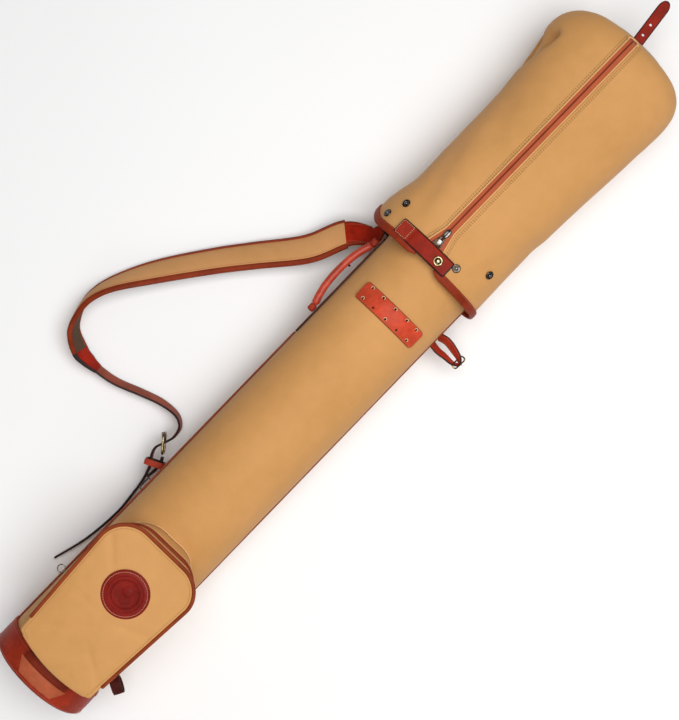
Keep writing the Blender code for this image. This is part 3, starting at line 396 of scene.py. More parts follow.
def settle(bm, facing=None):
    """Turns faces outwards: by facing(point) on an open sheet, or by the closed shape itself."""
    if facing is None:
        bmesh.ops.recalc_face_normals(bm, faces=bm.faces)
        return bm
    bm.normal_update()
    if sum(f.normal.dot(facing(f.calc_center_median())) for f in bm.faces) < 0:
        bmesh.ops.reverse_faces(bm, faces=bm.faces)
    return bm


def thicken(obj, thickness, offset=-1.0):
    solid = obj.modifiers.new("thickness", "SOLIDIFY")
    solid.thickness = thickness
    solid.offset = offset
    return obj


def from_axis(point):
    return Vector((point.x, 0, point.z))


def rod_rings(points, radii, sides, cyclic=False, flat=1.0):
    """Rings of points round a path, carried along without twisting."""
    points = [Vector(p) for p in points]
    count = len(points)
    if isinstance(radii, float):
        radii = [radii] * count
    rings = []
    side = None
    for i, place in enumerate(points):
        ahead = points[(i + 1) % count] if cyclic else points[min(i + 1, count - 1)]
        behind = points[i - 1] if cyclic else points[max(i - 1, 0)]
        along = (ahead - behind).normalized()
        if side is None:
            side = along.cross(Vector((0.13, 0.21, 1.0))).normalized()
        side = (side - along * side.dot(along)).normalized()
        up = along.cross(side)
        ring = []
        for k in range(sides):
            turn = 2 * math.pi * k / sides
            ring.append(place + (side * math.cos(turn) + up * math.sin(turn) * flat) * radii[i])
        rings.append(ring)
    return rings


def add_rod(bm, points, radii, sides=12, cyclic=False, flat=1.0):
    rings = rod_rings(points, radii, sides, cyclic, flat)
    if cyclic:
        rings.append(rings[0])
        verts = loft(bm, rings, around=True)
        bmesh.ops.remove_doubles(bm, verts=verts[0] + verts[-1], dist=1e-7)
    else:
        loft(bm, rings, around=True, caps=True)


def rounded_ends(points, radius, steps=3):
    """A path and its radii with domed ends."""
    points = [Vector(p) for p in points]
    first, last = (points[1] - points[0]).normalized(), (points[-1] - points[-2]).normalized()
    path, radii = [], []
    for k in range(steps):
        turn = math.pi / 2 * (k + 0.4) / steps
        path.append(points[0] - first * radius * math.cos(turn))
        radii.append(radius * math.sin(turn))
    tail = [(points[-1] + last * radius * math.cos(math.pi / 2 * (k + 0.4) / steps),
             radius * math.sin(math.pi / 2 * (k + 0.4) / steps)) for k in reversed(range(steps))]
    return path + points + [t[0] for t in tail], radii + [radius] * len(points) + [t[1] for t in tail]


def rod(name, points, radius, material, body, slot, replaced=(), sides=14, cyclic=False, flat=1.0):
    bm = bmesh.new()
    if cyclic:
        add_rod(bm, points, radius, sides, True, flat)
    else:
        add_rod(bm, *rounded_ends(points, radius), sides, False, flat)
    return put(name, settle(bm), material, body, slot, replaced)


def stitch_row(bm, path, length=0.0026, gap=0.0011, radius=0.00036, sink=0.4):
    """Adds separate small thread stitches along a dense path of points."""
    path = [Vector(p) for p in path]
    reach = running([(b - a).length for a, b in zip(path, path[1:])])

    def at(distance):
        for i in range(len(path) - 1):
            if distance <= reach[i + 1]:
                share = (distance - reach[i]) / max(reach[i + 1] - reach[i], 1e-9)
                return path[i].lerp(path[i + 1], share)
        return path[-1]

    place = gap
    while place + length < reach[-1]:
        points = [at(place + length * share) for share in (0.0, 0.18, 0.5, 0.82, 1.0)]
        radii = [radius * share for share in (sink, 0.9, 1.0, 0.9, sink)]
        loft(bm, rod_rings(points, radii, 6), around=True, caps=True)
        place += length + gap


def stitches(name, paths, material, body, slot, **sizes):
    bm = bmesh.new()
    for path in paths:
        stitch_row(bm, path, **sizes)
    return put(name, settle(bm), material, body, slot)


def rounded_outline(left, right, low, high, radii, corner_steps=8, side_steps=10):
    """Points round a rectangle with rounded corners: radii are low-right, high-right, high-left, low-left."""
    corners = ((right, low, -90), (right, high, 0), (left, high, 90), (left, low, 180))
    signs = ((-1, 1), (-1, -1), (1, -1), (1, 1))
    points = []
    for (x, y, start), (sx, sy), radius in zip(corners, signs, radii):
        centre = (x + sx * radius, y + sy * radius)
        arc = []
        for k in range(corner_steps + 1):
            turn = math.radians(start + 90 * k / corner_steps)
            arc.append((centre[0] + radius * math.cos(turn), centre[1] + radius * math.sin(turn)))
        if points:
            points += between(points[-1], arc[0], side_steps)
        points += arc
    return points + between(points[-1], points[0], side_steps)


def between(first, second, steps):
    return [tuple(a + (b - a) * k / steps for a, b in zip(first, second)) for k in range(1, steps)]


def inset(outline, distance):
    """The outline moved inwards by a distance."""
    count = len(outline)
    moved = []
    for i, (x, y) in enumerate(outline):
        ahead, behind = outline[(i + 1) % count], outline[i - 1]
        dx, dy = ahead[0] - behind[0], ahead[1] - behind[1]
        long = math.hypot(dx, dy) or 1.0
        moved.append((x - dy / long * distance, y + dx / long * distance))
    return moved


def pillow_rows(outline, place, thick, edge, crown=0.0, relief=None, inner=8, base=-0.0003):
    """Rings of a raised pad from its outline inwards. place(a, b, rise) gives points."""
    rows = [[place(a, b, base) for a, b in outline]]
    for k in range(5):
        turn = math.pi / 2 * k / 4
        ring = inset(outline, edge * (1 - math.cos(turn)))
        rows.append([place(a, b, thick * (0.15 + 0.85 * math.sin(turn))) for a, b in ring])
    ring = inset(outline, edge)
    cx = sum(p[0] for p in ring) / len(ring)
    cy = sum(p[1] for p in ring) / len(ring)
    for k in range(1, inner + 1):
        share = k / (inner + 0.6)
        row = []
        for a, b in ring:
            x, y = a + (cx - a) * share, b + (cy - b) * share
            rise = thick + crown * (1 - (1 - share) ** 2.2)
            row.append(place(x, y, rise + (relief(x, y) if relief else 0.0)))
        rows.append(row)
    return rows


def pillow(name, outline, place, thick, edge, material, body, slot, replaced=(), edge_paint=False, **more):
    bm = bmesh.new()
    rows = pillow_rows(outline, place, thick, edge, **more)
    paint = (lambda r, c: 1 if c == -1 and r == 0 else int(r < 3)) if edge_paint else None
    loft(bm, rows, around=True, caps=True, paint=paint)
    uv = bm.loops.layers.uv.verify()
    finishes = [material, "edge"] if edge_paint else material
    for face in bm.faces:
        for loop in face.loops:
            loop[uv].uv = (loop.vert.co.x, loop.vert.co.y)
    return put(name, settle(bm), finishes, body, slot, replaced)


def on_tube(radius):
    """A place function for pads on the tube: arc length round it from the front, and y."""
    def place(arc, y, rise):
        turn = arc / radius
        reach = radius + rise
        return Vector((reach * math.sin(turn), y, reach * math.cos(turn)))
    return place


def tube_point(radius, degrees, y):
    turn = math.radians(degrees)
    return Vector((radius * math.sin(turn), y, radius * math.cos(turn)))


def turned(bm, profile, steps=96):
    """Adds a surface turned about the tube's axis from (radius, y) points."""
    rows = [[Vector((r * math.sin(2 * math.pi * k / steps), y, r * math.cos(2 * math.pi * k / steps)))
             for k in range(steps)] for r, y in profile]
    return loft(bm, rows, around=True)


def soft_block(name, centre, size, material, body, slot, replaced=(), turn=None, bevel=0.0008):
    bm = bmesh.new()
    bmesh.ops.create_cube(bm, size=1.0)
    bmesh.ops.scale(bm, vec=size, verts=bm.verts)
    bmesh.ops.bevel(bm, geom=bm.edges, offset=bevel, segments=3, profile=0.5, affect="EDGES")
    matrix = Matrix.Translation(centre) @ (turn.to_4x4() if turn else Matrix.Identity(4))
    bmesh.ops.transform(bm, matrix=matrix, verts=bm.verts)
    return put(name, bm, material, body, slot, replaced)


def button(name, centre, axis, profile, materials, body, slot, replaced=(), paint=None, steps=28):
    """A round fitting turned about axis from (radius, rise) points, outer edge first."""
    axis = Vector(axis).normalized()
    side = axis.orthogonal().normalized()
    other = axis.cross(side)
    rows = []
    for radius, rise in profile:
        rows.append([Vector(centre) + axis * rise + (side * math.cos(a) + other * math.sin(a)) * radius
                     for a in (2 * math.pi * k / steps for k in range(steps))])
    bm = bmesh.new()
    loft(bm, rows, around=True, caps=True, paint=paint)
    return put(name, settle(bm), materials, body, slot, replaced)


# ---- the tube, its base and its trim ----
def canvas_radius(turn, y):
    """The tube's outer radius with its faint undulation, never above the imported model's."""
    place = Vector((2.0 * math.sin(turn), y * 9.0, 2.0 * math.cos(turn)))
    return TUBE_RADIUS - 0.0006 + 0.0006 * noise.noise(place)


def make_tube():
    bm = bmesh.new()
    rows = []
    for j in range(150):
        y = 0.0045 + (TUBE_TOP_Y - 0.0045) * j / 149
        row = []
        for k in range(96):
            turn = 2 * math.pi * k / 96
            radius = canvas_radius(turn, y)
            row.append(Vector((radius * math.sin(turn), y, radius * math.cos(turn))))
        rows.append(row)
    loft(bm, rows, around=True)
    thicken(put("tube_canvas", settle(bm, from_axis), "canvas", "bag", "canvas", ["canvas_shell"]), 0.0018)

    seam = [tube_point(TUBE_RADIUS + 0.0002, 91, BOOT_HEIGHT + 0.001 + 0.80 * k / 60) for k in range(61)]
    rod("side_seam_cord", seam, 0.0009, "piping", "bag", "dark_leather", sides=8)
    lower, upper = BOOT_HEIGHT + 0.001, 0.6105
    arc = math.radians(5) * SURFACE_RADIUS
    mid = -math.pi / 2 * SURFACE_RADIUS
    outline = rounded_outline(mid - arc, mid + arc, lower, upper, (0.002,) * 4, 4, 60)
    pillow("spine_leather", outline, on_tube(SURFACE_RADIUS), 0.0016, 0.0015, "spine", "bag",
           "dark_leather", ["spine_strip"], crown=0.0008, inner=3)
    arc = math.radians(9) * SURFACE_RADIUS
    outline = rounded_outline(mid - arc, mid + arc, 0.6112, 0.7960, (0.004,) * 4, 5, 30)
    pillow("handle_base_leather", outline, on_tube(SURFACE_RADIUS), 0.0021, 0.0015, "spine", "bag",
           "boot_leather", ["handle_base"], edge_paint=True, inner=3)
    rows = []
    for side in (-1, 1):
        for degrees, low, high in ((-90 + side * 3.6, lower + 0.002, upper - 0.002),
                                   (-90 + side * 7.2, 0.6150, 0.7920)):
            rise = SURFACE_RADIUS + 0.0020
            rows.append([tube_point(rise, degrees, low + (high - low) * k / 80) for k in range(81)])
    stitches("spine_stitches", rows, "red_thread", "bag", "dark_leather")


def make_boot():
    round_off = 0.008
    wall = 0.0764
    profile = [(0.002, 0.0), (0.030, 0.0), (0.060, 0.0)]
    for k in range(9):
        turn = math.pi / 2 * k / 8
        profile.append((BOOT_RADIUS - round_off + round_off * math.sin(turn),
                        round_off - round_off * math.cos(turn)))
    profile += [(BOOT_RADIUS + 0.0002, 0.022), (BOOT_RADIUS - 0.0002, 0.036), (BOOT_RADIUS, 0.0402)]
    profile += [(BOOT_RADIUS - 0.0008, BOOT_HEIGHT - 0.0002), (BOOT_RADIUS - 0.002, BOOT_HEIGHT)]
    profile += [(wall, BOOT_HEIGHT - 0.0006), (wall, 0.020), (wall, 0.0042), (0.030, 0.0041), (0.002, 0.0041)]
    bm = bmesh.new()
    verts = turned(bm, profile, 128)
    bm.faces.new(verts[0])
    bm.faces.new(verts[-1])
    put("boot_leather_cup", settle(bm), "boot", "bag", "boot_leather", ["base_boot"])
    rim = [tube_point(BOOT_RADIUS + 0.0002, 360 * k / 240, 0.0375) for k in range(241)]
    seam = [tube_point(BOOT_RADIUS + 0.0003, 360 * k / 240, 0.0052) for k in range(241)]
    stitches("boot_stitches", [rim, seam], "red_thread", "bag", "boot_leather")
    radius = BOOT_RADIUS + 0.0004
    flare = [(math.radians(a) * radius, y) for a, y in
             ((-17, 0.0084), (25, 0.0084), (34, 0.0278), (-27, 0.0278))]
    outline = []
    for i, corner in enumerate(flare):
        outline += [corner] + between(corner, flare[(i + 1) % 4], 14)
    pillow("boot_front_panel", outline, on_tube(radius), 0.0012, 0.0010, "panel", "bag",
           "patch_leather", ["boot_patch"], crown=0.0006, inner=5)
    # The front band under the pocket is darker partly by its own leather and partly by painted shadow from
    # the pocket.
    outline = rounded_outline(math.radians(-24) * radius, math.radians(32) * radius, 0.0284, 0.0408,
                              (0.002,) * 4, 4, 16)
    pillow("boot_front_band", outline, on_tube(radius), 0.0021, 0.0014, "band", "bag",
           "dark_leather", ["boot_band"], edge_paint=True, crown=0.0004, inner=5)


def patch_relief(x, y):
    """Dimples round the lacing holes."""
    rise = 0.0
    for hole_x, hole_y in patch_holes():
        gap = math.hypot(x - hole_x, y - hole_y)
        rise -= 0.0014 * math.exp(-(gap / 0.0024) ** 2)
    return rise


def patch_holes():
    upper = [(x * 1.09, 0.7288) for x in (-0.036, -0.0166, 0.0035, 0.0233, 0.0416)]
    lower = [(x * 1.09, 0.7092) for x in (-0.0366, -0.0179, 0.0027, 0.0223, 0.0416)]
    return upper + lower


def make_laced_patch():
    place = on_tube(SURFACE_RADIUS)
    left, right = math.radians(-41) * SURFACE_RADIUS, math.radians(47) * SURFACE_RADIUS
    outline = rounded_outline(left, right, 0.7035, 0.7330, (0.0055,) * 4, 8, 40)
    pillow("laced_patch_leather", outline, place, 0.0024, 0.0018, "patch", "bag", "bright_leather",
           ["laced_patch"], edge_paint=True, crown=0.0012, relief=patch_relief, inner=20)
    border = inset(outline, 0.0024)
    border = [place(x, y, 0.0031 + patch_relief(x, y)) for x, y in border + border[:1]]
    stitches("patch_border", [border], "tan", "bag", "bright_leather", length=0.0018, gap=0.0008,
             radius=0.00030)
    bm = bmesh.new()
    lace = bmesh.new()
    for i, (x, y) in enumerate(patch_holes()):
        centre = place(x, y, 0.0023)
        axis = from_axis(centre).normalized()
        bmesh.ops.create_uvsphere(bm, u_segments=14, v_segments=8, radius=0.00155,
                                  matrix=Matrix.Translation(centre))
        side = Vector((0, 1, 0)).cross(axis)
        arc = []
        for k in range(9):
            turn = math.radians(-20 + 220 * k / 8)
            ring = side * math.cos(turn) * 0.0023 + Vector((0, 1, 0)) * math.sin(turn) * 0.0023
            arc.append(centre + ring + axis * (0.0007 + 0.0005 * math.sin(math.pi * k / 8)))
        if i < 5 or i % 2:
            add_rod(lace, *rounded_ends(arc, 0.00045), 8)
    put("patch_holes", bm, "hole", "bag", "dark_leather")
    put("patch_lacing", settle(lace), "cream", "bag", "canvas")


def make_handle():
    low, high = HANDLE_Y[0] + 0.0090, HANDLE_Y[1] - 0.0080
    reach, span = 0.0085, high - low
    bow = ((-0.008, 0.0), (0.03, 0.05), (0.12, 0.42), (0.28, 0.84), (0.5, 1.0), (0.72, 0.84), (0.88, 0.42),
           (0.97, 0.05), (1.008, 0.0))
    keys = [(HANDLE_X - reach * share, low + span * run) for run, share in bow]
    path = [(x, y, 0.0) for x, y in smooth_path(keys, 80)]
    bm = bmesh.new()
    radii = [0.0056 - 0.0012 * max(0.0, 1 - min(k, 80 - k) / 9) for k in range(81)]
    add_rod(bm, path, radii, 20)
    put("handle_roll", settle(bm), "handle", "handle", "bright_leather", ["handle_grip"])
    ridge = [Vector(p) + Vector((-0.0044, 0, 0.0042)) for p in path[6:-6]]
    stitches("handle_stitches", [ridge], "red_thread", "handle", "bright_leather", radius=0.0004)
    for name, y in (("handle_chape_lower", low - 0.0068), ("handle_chape_upper", high + 0.0068)):
        soft_block(name + "_loop", (-0.0841, y, 0), (0.0100, 0.0118, 0.0150), "boot", "bag",
                   "boot_leather", [name], bevel=0.0030)
        for side in (-1, 1):
            band = [(-0.0895, y + side * 0.0035, -0.0055 + 0.011 * k / 12) for k in range(13)]
            stitches(f"{name}_stitches_{'low' if side < 0 else 'high'}", [band], "red_thread", "bag",
                     "boot_leather", length=0.0018)
    rod("handle_rivet", [(-0.0868, 0.7318, 0.0040), (-0.0868, 0.7322, 0.0060)], 0.0016, "dark", "bag",
        "dark_leather")


# ---- the ball pocket ----
# y, left edge, right edge of the front panel
POCKET_EDGES = (
    (0.044, -0.0600, 0.0720),
    (0.090, -0.0635, 0.0745),
    (0.150, -0.0665, 0.0750),
    (0.180, -0.0675, 0.0770),
    (0.205, -0.0690, 0.0820),
    (0.240, -0.0715, 0.0845),
    (0.275, -0.0740, 0.0830),
)


def pocket_front_z(y):
    return POCKET_Z[0] + (POCKET_Z[1] - POCKET_Z[0]) * (y - POCKET_Y[0]) / (POCKET_Y[1] - POCKET_Y[0])


def pocket_outline(share):
    """Points round the pocket at a share of its depth: 0 on the tube, 1 at the front panel's edge."""
    high = 0.287 - 0.012 * share
    corners = (
        (1, 0.0495 + 0.0040 * share, 0.005, -90, 5, 24),
        (1, high, 0.040, 0, 14, 22),
        (-1, high, 0.048, 90, 14, 24),
        (-1, 0.0495 + 0.0075 * share, 0.005, 180, 5, 30),
    )
    arcs = []
    for side, corner_y, radius, start, steps, _ in corners:
        rise = 1 if start in (-90, 180) else -1
        arc = []
        for k in range(steps + 1):
            turn = math.radians(start + 90 * k / steps)
            y = corner_y + rise * radius + radius * math.sin(turn)
            left, right = at_table(POCKET_EDGES, y)
            edge = 0.058 + (right - 0.058) * share if side > 0 else -0.056 + (left + 0.056) * share
            arc.append((edge - side * radius + radius * math.cos(turn), y))
        arcs.append(arc)
    points = []
    for i, arc in enumerate(arcs):
        points += arc
        points += between(arc[-1], arcs[(i + 1) % 4][0], corners[i][5])
    shaped = []
    for i, (x, y) in enumerate(points):
        bow = 0.0105 * share * max(0.0, 1 - ((x - 0.006) / 0.067) ** 2) if i > len(points) - 30 else 0.0
        shaped.append((x, y - bow))
    return shaped


def pocket_ring(share, swell=0.0):
    """The pocket's section at a share of its depth, its sides swelling out by swell."""
    front, back = pocket_outline(1.0), pocket_outline(0.0)
    ring = []
    for (fx, fy), (bx, by) in zip(front, back):
        bz = math.sqrt(max((SURFACE_RADIUS + 0.0002) ** 2 - bx**2, 0.0))
        x, y = bx + (fx - bx) * share, by + (fy - by) * share
        z = bz + (pocket_front_z(fy) - bz) * share
        out = Vector((x, y - 0.165, 0)).normalized() * swell * math.sin(math.pi * share)
        ring.append(Vector((x, y, z)) + out)
    return ring


def door_place(x, y, rise):
    return Vector((x, y, pocket_front_z(y) + rise))


def door_relief(x, y):
    """Soft corner wrinkles and slack in the pocket's front."""
    crease = 0.0
    for cx, cy, angle, length, depth in (
        (-0.052, 0.232, -0.75, 0.030, 0.0010), (0.060, 0.236, 0.85, 0.030, 0.0009),
        (0.055, 0.165, 0.35, 0.030, 0.0011), (0.050, 0.090, -0.55, 0.034, 0.0008),
        (-0.045, 0.085, 0.75, 0.030, 0.0010), (-0.040, 0.150, 0.10, 0.030, 0.0006),
    ):
        dx, dy = x - cx, y - cy
        along = dx * math.cos(angle) + dy * math.sin(angle)
        across = -dx * math.sin(angle) + dy * math.cos(angle)
        crease -= 1.9 * depth * math.exp(-(along / length) ** 2 - (across / 0.005) ** 2)
    return crease + 0.0014 * noise.noise(Vector((x * 30, y * 22, 0.3)))


def make_pocket():
    def outward(point):
        return Vector((point.x, point.y - 0.165, 0))

    for name, shares, material, slot, node, swell in (
        ("pocket_gusset_canvas", (-0.05, 0.05, 0.15, 0.25, 0.35, 0.45, 0.52), "canvas", "canvas",
         "pocket_gusset", 0.0012),
        ("pocket_zip_band", (0.525, 0.57, 0.62, 0.67, 0.715), "tape", "zip_tape", "pocket_zip_tape", 0.0006),
    ):
        bm = bmesh.new()
        loft(bm, [pocket_ring(s, swell) for s in shares], around=True)
        thicken(put(name, settle(bm, outward), material, "bag", slot, [node]), 0.0016)
    bm = bmesh.new()
    for share in (0.53, 0.705):
        add_rod(bm, [p + outward(p).normalized() * 0.0006 for p in pocket_ring(share)], 0.0007, 6, True)
    put("pocket_zip_edges", settle(bm), "piping", "bag", "zip_tape")
    bm = bmesh.new()
    add_rod(bm, [p + outward(p).normalized() * 0.0010 for p in pocket_ring(0.62)], 0.0009, 8, True)
    put("pocket_zip_coil", settle(bm), "tape_dark", "bag", "zip_tape")
    bm = bmesh.new()
    seat = [p + outward(p).normalized() * 0.0010 for p in pocket_ring(-0.02)]
    add_rod(bm, [p + from_axis(p).normalized() * 0.0006 for p in seat], 0.0012, 8, True)
    # The base cord takes the paler canvas, a painted highlight.
    put("pocket_base_cord", settle(bm), "canvas_edge", "bag", "canvas")

    outline = [(x, y) for x, y in pocket_outline(1.0)]
    skirt = [pocket_ring(s) for s in (0.725, 0.80, 0.88, 0.94)]
    bm = bmesh.new()
    rows = skirt + pillow_rows(outline, door_place, 0.0026, 0.0042, crown=0.0052, relief=door_relief,
                               inner=26, base=-0.0004)
    loft(bm, rows, around=True)
    close_last(bm, len(outline))
    settle(bm, lambda p: Vector((0, 0, 1)) if p.z > 0.104 else outward(p))
    uv = bm.loops.layers.uv.verify()
    for face in bm.faces:
        for loop in face.loops:
            if abs(face.normal.z) > 0.5:
                loop[uv].uv = (loop.vert.co.x, loop.vert.co.y)
    thicken(put("pocket_front_canvas", bm, "canvas", "pocket_door", "canvas", ["pocket_front"]), 0.0018)

    edge = [Vector((x, y, pocket_front_z(y) + 0.0014)) for x, y in outline]
    path = [p for p in edge if p.y > (0.074 if p.x > 0 else 0.080)]
    rod("pocket_piping_roll", path, 0.0028, "piping", "pocket_door", "dark_leather", ["pocket_piping"],
        sides=12)
    inner = inset(outline, 0.0052)
    row = [Vector((x, y, pocket_front_z(y) + 0.0036)) for x, y in inner if y > 0.056]
    stitches("pocket_edge_stitches", [row], "tan", "pocket_door", "canvas", radius=0.00026)
    make_badge()
    make_pocket_pull()


def close_last(bm, count):
    """Closes the innermost ring of a loft."""
    bm.verts.ensure_lookup_table()
    bm.faces.new(bm.verts[len(bm.verts) - count:])


def make_badge():
    """A round leather badge with a stitched edge, plain rings and a dimpled ball on a tee."""
    x, y = BADGE_PLACE
    slope = (POCKET_Z[1] - POCKET_Z[0]) / (POCKET_Y[1] - POCKET_Y[0])
    out = Vector((0, -slope, 1)).normalized()
    centre = Vector((x, y, pocket_front_z(y))) + out * 0.0064
    profile = [(BADGE_RADIUS * 0.97, -0.0013), (BADGE_RADIUS, 0.0), (BADGE_RADIUS, 0.0016),
               (BADGE_RADIUS - 0.0006, 0.0023), (BADGE_RADIUS - 0.0016, 0.0026),
               (0.0312, 0.0025), (0.0306, 0.0020), (0.0300, 0.0025), (0.0262, 0.0025)]
    for ring in (0.0250, 0.0205, 0.0188):
        profile += [(ring + 0.0007, 0.0025), (ring + 0.0003, 0.0033), (ring - 0.0003, 0.0033),
                    (ring - 0.0007, 0.0025)]
    profile += [(0.0160, 0.0024), (0.0090, 0.0023), (0.0010, 0.0023)]
    button("pocket_badge_leather", centre, out, profile, ["badge", "edge"], "pocket_door", "dark_leather",
           ["pocket_badge"], paint=lambda r, c: int(r < 2), steps=72)
    side = Vector((1, 0, 0))
    up = out.cross(side)
    circle = [centre + out * 0.0025 + (side * math.cos(a) + up * math.sin(a)) * 0.0306
              for a in (2 * math.pi * k / 160 for k in range(161))]
    stitches("badge_stitches", [circle], "cream", "pocket_door", "dark_leather", length=0.0014, gap=0.0010,
             radius=0.00030)
    bm = bmesh.new()
    ball = centre + up * 0.0045
    dome = [[ball + out * (0.0023 + 0.0016 * math.cos(t)) + (side * math.cos(a) + up * math.sin(a))
             * 0.0078 * math.sin(t) for a in (2 * math.pi * k / 40 for k in range(40))]
            for t in (math.pi / 2 * j / 10 + 0.02 for j in range(11))]
    loft(bm, dome, around=True, caps=True)
    for ring, count in ((0.0022, 5), (0.0044, 10), (0.0062, 14)):
        for k in range(count):
            a = 2 * math.pi * (k + 0.5 * (ring > 0.003)) / count
            rise = 0.0023 + 0.0016 * math.sqrt(max(0.0, 1 - (ring / 0.0078) ** 2))
            spot = ball + out * rise + (side * math.cos(a) + up * math.sin(a)) * ring
            loft(bm, rod_rings([spot - out * 0.0002, spot + out * 0.0001, spot + out * 0.0003],
                               [0.0008, 0.0007, 0.0003], 8), around=True, caps=True)
    tee = [(0.0052, -0.0040), (0.0030, -0.0052), (0.0014, -0.0070), (0.0010, -0.0105), (0.0002, -0.0140)]
    for sign in (-1, 1):
        add_rod(bm, [centre + out * 0.0026 + side * sign * a + up * b for a, b in tee], 0.0005, 8)
    for k, (a, b, c) in enumerate(((-0.0142, 0.0142, -0.0060), (-0.0120, 0.0120, -0.0090),
                                   (-0.0090, 0.0090, -0.0118))):
        path = []
        for i in range(15):
            across = a + (b - a) * i / 14
            if abs(across) > 0.003:
                wave = 0.0010 * math.sin(i * 0.9 + k)
                path.append(centre + out * 0.0025 + side * across + up * (c + wave))
        half = len(path) // 2
        for part in (path[:half], path[half:]):
            if len(part) > 1:
                add_rod(bm, part, 0.0004, 6)
    put("badge_emblem", settle(bm), "badge", "pocket_door", "dark_leather")


def make_pocket_pull():
    low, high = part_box("pocket_slider")
    middle = (low + high) / 2
    soft_block("pocket_zip_slider", middle, tuple(high - low), "steel", "pocket_zip", "dark_metal",
               ["pocket_slider"], bevel=0.0010)
    low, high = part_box("pocket_pull_ring")
    centre = (low + high) / 2
    reach = (high.y - low.y) / 2 - 0.0009
    ring = [centre + Vector((reach * math.cos(a), reach * math.sin(a), 0))
            for a in (2 * math.pi * k / 36 for k in range(36))]
    rod("pocket_zip_ring", ring, 0.0009, "nickel", "pocket_pull", "dark_metal", ["pocket_pull_ring"],
        sides=10, cyclic=True)


# ---- the travel hood ----
def hood_dents(x, y, z):
    """How far the hood's surface sinks in at a point: folds, creases and slack."""
    sink = 0.0
    if z > -0.02:
        for x0, y0, x1, y1, depth, width, grow in (
            (-0.1120, 1.094, -0.1105, 1.160, 0.0200, 0.0060, 1.3),
            (-0.1060, 1.136, -0.1090, 1.165, 0.0090, 0.0080, 1.0),
            (0.0480, 0.835, 0.0840, 0.930, 0.0028, 0.0110, 0.3),
            (0.0250, 0.850, 0.0560, 0.905, 0.0014, 0.0090, 0.3),
            (-0.0700, 0.850, -0.0930, 0.960, 0.0026, 0.0120, 0.3),
            (0.0600, 1.060, 0.0900, 1.130, 0.0016, 0.0120, 0.3),
            (-0.0600, 0.990, -0.0900, 1.060, 0.0022, 0.0140, 0.3),
            (-0.0320, 0.800, -0.0360, 0.840, 0.0012, 0.0090, 0.3),
        ):
            dx, dy = x1 - x0, y1 - y0
            span = math.hypot(dx, dy)
            along = ((x - x0) * dx + (y - y0) * dy) / span**2
            across = ((x - x0) * dy - (y - y0) * dx) / span
            if -0.25 < along < 1.25:
                reach = min(max(along + 0.25, 0.0) / 0.5, 1.0) * min(max(1.25 - along, 0.0) / 0.3, 1.0)
                ease = reach * reach * (3 - 2 * reach)
                share = max(0.0, min(1.0, along)) ** grow if grow > 0.5 else 1.0
                sink += depth * ease * share * math.exp(-(across / width) ** 2)
    return sink


def hood_point(y, turn, grow=0.0, folds=True):
    """A point of the hood's section. turn runs from +X (0) by the front (90), in degrees."""
    left, right, front, back = at_table(HOOD_STATIONS, y)
    middle, half = (left + right) / 2, (right - left) / 2 + grow
    c, s = math.cos(math.radians(turn)), math.sin(math.radians(turn))
    tall = (front if s >= 0 else -back) + grow
    x = middle + half * math.copysign(abs(c) ** (2 / HOOD_POWER), c)
    z = tall * math.copysign(abs(s) ** (2 / HOOD_POWER), s)
    point = Vector((x, y, z))
    if folds:
        away = min(abs(x - ZIP_X) / 0.03, 1.0) if z > 0 else 1.0
        ripple = 0.0011 * noise.noise(Vector((x * 14, y * 9, z * 14))) * away
        end = min(max((1.236 - y) / 0.03, 0.0), 1.0)
        sink = (hood_dents(x, y, z) + ripple + 0.0004) * end
        point -= Vector((x - middle, 0, z)).normalized() * sink
    point.z = max(point.z, FLOOR_Z)
    return point


def hood_front(x, y, grow=0.0):
    left, right, front, _ = at_table(HOOD_STATIONS, y)
    middle, half = (left + right) / 2, (right - left) / 2
    share = min(abs(x - middle) / half, 0.985)
    return Vector((x, y, front * (1 - share**HOOD_POWER) ** (1 / HOOD_POWER) + grow))


def hood_normal(x, y):
    low, high = hood_front(x - 0.001, y), hood_front(x + 0.001, y)
    return Vector((low.z - high.z, 0, high.x - low.x)).normalized()


def on_hood(x, y, rise):
    return hood_front(x, y) + hood_normal(x, y) * rise


def hood_turn(x, y):
    """The turn at which the hood's front section passes over x."""
    left, right = at_table(HOOD_STATIONS, y)[:2]
    middle, half = (left + right) / 2, (right - left) / 2
    share = math.copysign((abs(x - middle) / half) ** (HOOD_POWER / 2), x - middle)
    return math.degrees(math.acos(share))


def hem_rise(turn):
    """How far the hood's mouth climbs towards the closed end on its left side."""
    share = max(0.0, 1 - abs((turn % 360) - 196) / 52)
    return 0.024 * share * share * (3 - 2 * share)


def zip_side(y):
    """How far each zip tape's inner edge stands off the zip's line."""
    if y >= ZIP_FORK_Y:
        return 0.0
    share = (ZIP_FORK_Y - y) / (ZIP_FORK_Y - HEM_Y - HEM_HEIGHT)
    return ZIP_SPREAD * share


